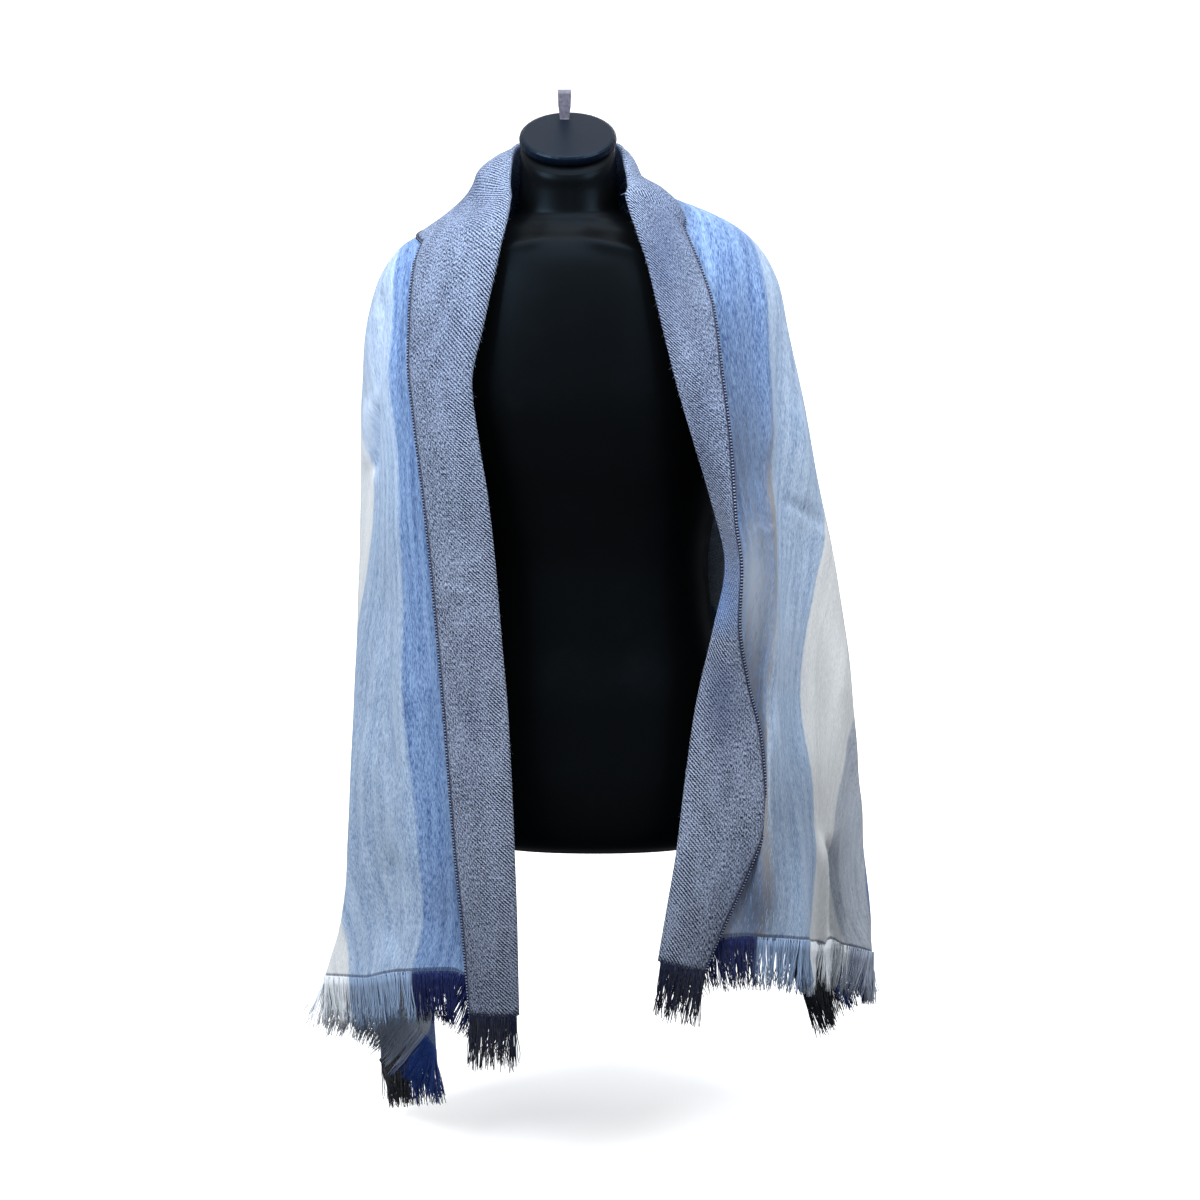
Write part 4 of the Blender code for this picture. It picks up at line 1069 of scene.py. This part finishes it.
def resample(line, pitch, field):
    """Points along a line about `pitch` apart, with a field carried along."""
    steps = np.linalg.norm(np.diff(line, axis=0), axis=1)
    arc = np.concatenate(([0.0], np.cumsum(steps)))
    at = np.linspace(0, arc[-1], max(2, int(round(arc[-1] / pitch)) + 1))
    return np.stack([np.interp(at, arc, line[:, i]) for i in range(3)], -1), np.interp(at, arc, field)


def make_selvedge(line, material):
    """Whipped edge of the band: a fine cord of dark beads with pale stitches between."""
    points, _ = resample(line, SELVEDGE_PITCH, line[:, 0])
    count = len(points)
    tangent = unit(np.gradient(points, axis=0))
    first = unit(np.cross(tangent, np.array((0.0, 1.0, 0.0)) + tangent * 0.01))
    phase = np.arange(count) * (2 * np.pi / BEAD_STEPS)
    bead = 0.5 + 0.5 * np.sin(phase + 0.6 * np.sin(np.arange(count) * 0.07))
    radius = 0.0010 + 0.0010 * bead
    verts = points[:, None] + ring_around(first, np.cross(tangent, first), CORD_SIDES) * radius[:, None, None]
    index = np.arange(count * CORD_SIDES).reshape(count, CORD_SIDES)
    faces = quads(index, np.roll(index, -1, axis=1)) + [index[0][::-1].tolist(), index[-1].tolist()]
    values = {"bead": np.repeat(bead, CORD_SIDES)}
    return mesh_object("selvedge_edge", verts.reshape(-1, 3), faces, (material,), values)


def make_strands(name, line, across, pitch, length, seed, material):
    """Loose warp ends under a hem, hanging in clumps."""
    chance = np.random.default_rng(seed)
    roots, across = resample(line, pitch, across)
    count = len(roots)
    tangent = unit(np.gradient(roots, axis=0))
    down = np.array((0.0, 0.0, -1.0))
    hang = unit(down - tangent * np.sum(tangent * down, 1, keepdims=True))
    level = unit(tangent * np.array((1.0, 1.0, 0.0)) + 1e-6)
    out = np.stack((-level[:, 1], level[:, 0], np.zeros(count)), -1)
    clump = np.cumsum(chance.uniform(0.4, 1.6, count)) / CLUMP
    pull = (np.floor(clump) + 0.5 - clump) * CLUMP * pitch
    clump = np.floor(clump).astype(int)
    lean, swing, size = (chance.normal(*spread, clump.max() + 1)[clump] for spread in CLUMP_SPREADS)
    own = chance.normal(0, 1, (count, 4))
    length = (length * np.clip(size + own[:, 0] * 0.10, 0.55, 1.16))[:, None, None]
    part = np.linspace(0, 1, STRAND_STEPS)[None, :, None]
    fall = unit(hang * 0.55 + down * 0.45)
    path = roots[:, None] + (hang[:, None] * 0.45 + fall[:, None] * 0.55) * part * length
    gather = (pull * 0.20)[:, None, None] * np.sin(part * np.pi / 2) ** 1.2
    path += level[:, None] * (gather + (lean + own[:, 2] * 0.0028)[:, None, None] * part**1.5)
    depth = (own[:, 1] * 0.0007)[:, None, None] * (1 - 0.4 * part)
    path += out[:, None] * (depth + (swing + own[:, 3] * 0.0016)[:, None, None] * part**1.4)
    rate = chance.uniform(7, 13, count)[:, None, None]
    wave = np.sin(part * rate + chance.uniform(0, 6.3, count)[:, None, None])
    path += (level[:, None] * wave + out[:, None] * np.cos(part * rate)) * (0.0009 * part)
    path[:, 0] -= fall * 0.003
    radius = 0.00074 * (1 - 0.50 * part[..., 0]) * chance.uniform(0.7, 1.3, count)[:, None]
    direction = unit(np.gradient(path, axis=1))
    first = unit(np.cross(direction, out[:, None] + level[:, None] * 0.2))
    ring = ring_around(first, np.cross(direction, first), STRAND_SIDES)
    verts = path[:, :, None] + ring * radius[..., None, None]
    index = np.arange(count * STRAND_STEPS * STRAND_SIDES).reshape(count, STRAND_STEPS, STRAND_SIDES)
    faces = quads(index, np.roll(index, -1, axis=2))
    faces += index[:, 0, ::-1].tolist() + index[:, -1].tolist()
    each = STRAND_STEPS * STRAND_SIDES
    lengths = np.broadcast_to(part * 0.05, index.shape).ravel() + np.repeat(np.arange(count) * 0.013, each)
    values = {"across": np.repeat(across + own[:, 0] * 0.0008, each), "along": lengths}
    return mesh_object(name, verts.reshape(-1, 3), faces, (material,), values)


def make_form(plastic):
    """Smooth torso form through the solid's own rings, with soft collarbones."""
    rings = sorted(FORM_RINGS, key=lambda ring: -ring.height)
    keys = np.arange(len(rings), dtype=float)
    Row = namedtuple("Row", "key height lean middle half front back")
    rows = [Row(key, *ring) for key, ring in zip(keys, rings)]
    at = np.linspace(0, keys[-1], FORM_ROWS + 1)
    value = {name: smooth_curve(rows, "key", name)(at)[:, None] for name in FormRing._fields}
    turn = np.linspace(0, 2 * np.pi, FORM_SIDES, endpoint=False)[None]
    cosine, sine = np.cos(turn), np.sin(turn)
    depth = np.where(sine > 0, value["back"], value["front"])
    x = np.sign(cosine) * np.abs(cosine) ** FORM_POWER * value["half"]
    y = np.sign(sine) * np.abs(sine) ** FORM_POWER * depth
    z = value["height"] + y * math.tan(CAP_LEAN) * value["lean"]
    points = np.stack(np.broadcast_arrays(value["middle"] + x, y, z), -1) + NECK
    front = np.clip(-sine, 0, 1) * np.ones_like(z)
    for side in (-1, 1):
        bone = -0.158 - 0.020 * np.clip(side * points[..., 0] / 0.09, 0, 1)
        span = ease(0.012, 0.035, side * points[..., 0]) * ease(0.135, 0.095, side * points[..., 0])
        above = points[..., 2] - bone
        rise = np.exp(-(above / 0.0075) ** 2) - 0.7 * np.exp(-((above - 0.014) / 0.008) ** 2)
        points[..., 1] -= 0.0035 * rise * span * front
    index = np.arange((FORM_ROWS + 1) * FORM_SIDES).reshape(FORM_ROWS + 1, FORM_SIDES)
    nxt = np.roll(index, -1, axis=1)
    faces = np.stack((index[:-1], index[1:], nxt[1:], nxt[:-1]), -1).reshape(-1, 4).tolist()
    faces += [index[0].tolist(), index[-1][::-1].tolist()]
    return mesh_object("form_smooth", points.reshape(-1, 3), faces, (plastic,))


def make_lights():
    """Large soft lights before and above, as in a white studio."""
    Light = namedtuple("Light", "name place size power colour")
    lights = (
        Light("left_softbox", (-1.35, -1.4, 0.80), (1.0, 1.2), 47, (0.96, 0.98, 1.0)),
        Light("right_softbox", (1.4, -1.35, 0.70), (1.0, 1.2), 27, (1.0, 0.99, 0.97)),
        Light("top_softbox", (0.1, -0.5, 1.7), (1.8, 1.6), 28, (0.92, 0.96, 1.0)),
        Light("back_softbox", (0.2, 2.2, 1.0), (2.0, 1.6), 30, (1.0, 1.0, 1.0)),
    )
    for light in lights:
        data = bpy.data.lights.new(light.name, "AREA")
        data.shape = "RECTANGLE"
        data.size, data.size_y = light.size
        data.energy = light.power
        data.color = light.colour
        made = bpy.data.objects.new(light.name, data)
        made.location = light.place
        aim = Vector((0.03, -0.03, -0.5)) - made.location
        made.rotation_euler = aim.to_track_quat("-Z", "Y").to_euler()
        made.visible_camera = False
        bpy.context.scene.collection.objects.link(made)
    world = bpy.data.worlds.new("studio")
    world.use_nodes = True
    tree = world.node_tree
    background = tree.nodes["Background"]
    background.inputs["Strength"].default_value = SKY_STRENGTH
    kinds = ("TexCoord", "SeparateXYZ", "ValToRGB", "MapRange")
    place, split, ramp, rise = (tree.nodes.new(f"ShaderNode{kind}") for kind in kinds)
    rise.inputs["From Min"].default_value = -1.0
    for element, stop in zip(ramp.color_ramp.elements, SKY):
        element.position, element.color = stop
    tree.links.new(place.outputs["Generated"], split.inputs[0])
    tree.links.new(split.outputs["Z"], rise.inputs["Value"])
    tree.links.new(rise.outputs[0], ramp.inputs[0])
    tree.links.new(ramp.outputs[0], background.inputs["Color"])
    bpy.context.scene.world = world


def make_stage():
    """White floor that curves up into a wall all round."""
    floor_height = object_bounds()[0][2] - FLOOR_GAP
    turns = [math.pi / 2 * i / BEND_STEPS for i in range(BEND_STEPS + 1)]
    bend = [(FLOOR_RADIUS + BEND_RADIUS * math.sin(t), BEND_RADIUS * (1 - math.cos(t))) for t in turns]
    profile = [(0.0, 0.0), *bend, (FLOOR_RADIUS + BEND_RADIUS, WALL_TOP)]
    bm = bmesh.new()
    verts = [bm.verts.new((radius, 0, floor_height + up)) for radius, up in profile]
    for a, b in zip(verts, verts[1:]):
        bm.edges.new((a, b))
    bmesh.ops.spin(bm, geom=bm.verts[:] + bm.edges[:], axis=(0, 0, 1), cent=(0, 0, 0),
                   angle=2 * math.pi, steps=64, use_merge=True)
    bmesh.ops.remove_doubles(bm, verts=bm.verts[:], dist=0.0001)
    mesh = bpy.data.meshes.new("studio_floor")
    bm.to_mesh(mesh)
    bm.free()
    mesh.shade_smooth()
    nodes = Nodes("studio_white")
    cloud = nodes.noise(nodes.place(), scale=2.0, detail=1.0)
    colour = nodes.mix(cloud, (0.90, 0.90, 0.90, 1), (0.93, 0.93, 0.93, 1))
    split = nodes.add("ShaderNodeSeparateXYZ", nodes.place()).outputs
    away = nodes.math("SQRT", nodes.plus(*(nodes.times(split[axis], split[axis]) for axis in ("X", "Y"))))
    glow = nodes.spread(away, GLOW_FROM, GLOW_TO, FLOOR_GLOW, WALL_GLOW)
    nodes.set(Base_Color=colour, Roughness=0.9, Specular_IOR_Level=0.0, Emission_Color=(1, 1, 1, 1),
              Emission_Strength=glow)
    mesh.materials.append(nodes.material)
    floor = bpy.data.objects.new("studio_floor", mesh)
    bpy.context.scene.collection.objects.link(floor)
    floor.visible_glossy = False
    floor.visible_diffuse = False


def make_camera():
    """Camera at the photo's place."""
    data = bpy.data.cameras.new("photo_camera")
    data.sensor_width = SENSOR
    away = VIEW_CENTRE - CAMERA_PLACE
    data.lens = SENSOR * away.length / VIEW_WIDTH
    camera = bpy.data.objects.new("photo_camera", data)
    camera.location = CAMERA_PLACE
    camera.rotation_euler = away.to_track_quat("-Z", "Y").to_euler()
    bpy.context.scene.collection.objects.link(camera)
    bpy.context.scene.camera = camera


def main():
    """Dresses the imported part."""
    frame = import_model()
    make_camera()
    sheets = {side: Sheet(side) for side in (-1, 1)}
    yarn, nap = yarn_material(), nap_material()
    cloth, free_line = make_cloth(sheets, brushed_material(), twill_material())
    naps = make_nap(sheets, nap)
    selvedge = make_selvedge(free_line, selvedge_material())
    fuzz = make_edge_fuzz(sheets, nap)

    fringes = []
    for side, name in ((-1, "left"), (1, "right")):
        sheet = sheets[side]
        hem, across = sheet.points[-1, sheet.corner:], sheet.across[-1, sheet.corner:]
        fringes.append(make_strands(f"strands_{name}", hem, across, HEM_PITCH, HEM_FRINGE, 20 + side, yarn))
        hem = sheet.band[ROLL_STEPS - 1:, -1]
        across = np.linspace(*BAND_REACH, len(hem))
        name = f"strands_collar_{name}"
        fringes.append(make_strands(name, hem, across, BAND_PITCH, BAND_FRINGE, 30 + side, yarn))

    form = make_form(plastic_material("black_plastic", 0.08, (8, 9, 10), (15, 16, 18)))
    # Painted reflection: the cap's colours are bluer than the form's, for the bluish light on its top; the
    # scuffs are real wear.
    cap_plastic = plastic_material("cap_plastic", 0.19, (9, 17, 31), (15, 26, 44))
    for name, material in (("neck_cap", cap_plastic), ("hanging_loop", ribbon_material())):
        node = frame["nodes"][name]
        node.data.materials.clear()
        node.data.materials.append(material)

    trim = [naps, selvedge, fuzz]
    for slot, pieces in (("cloth", [cloth] + trim), ("form", [form]), ("yarn", fringes)):
        for piece in pieces:
            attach(piece, "root")
    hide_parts("shawl_front_left", "shawl_back", "shawl_front_right",
                "collar_back", "collar_left", "collar_right")
    fringe_nodes = ("fringe_left", "fringe_collar_left", "fringe_right", "fringe_collar_right")
    for piece, node in zip(fringes, fringe_nodes):
        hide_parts(node)
    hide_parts("torso_form")
    make_lights()
    make_stage()
    bpy.context.scene.view_settings.view_transform = "Standard"


main()
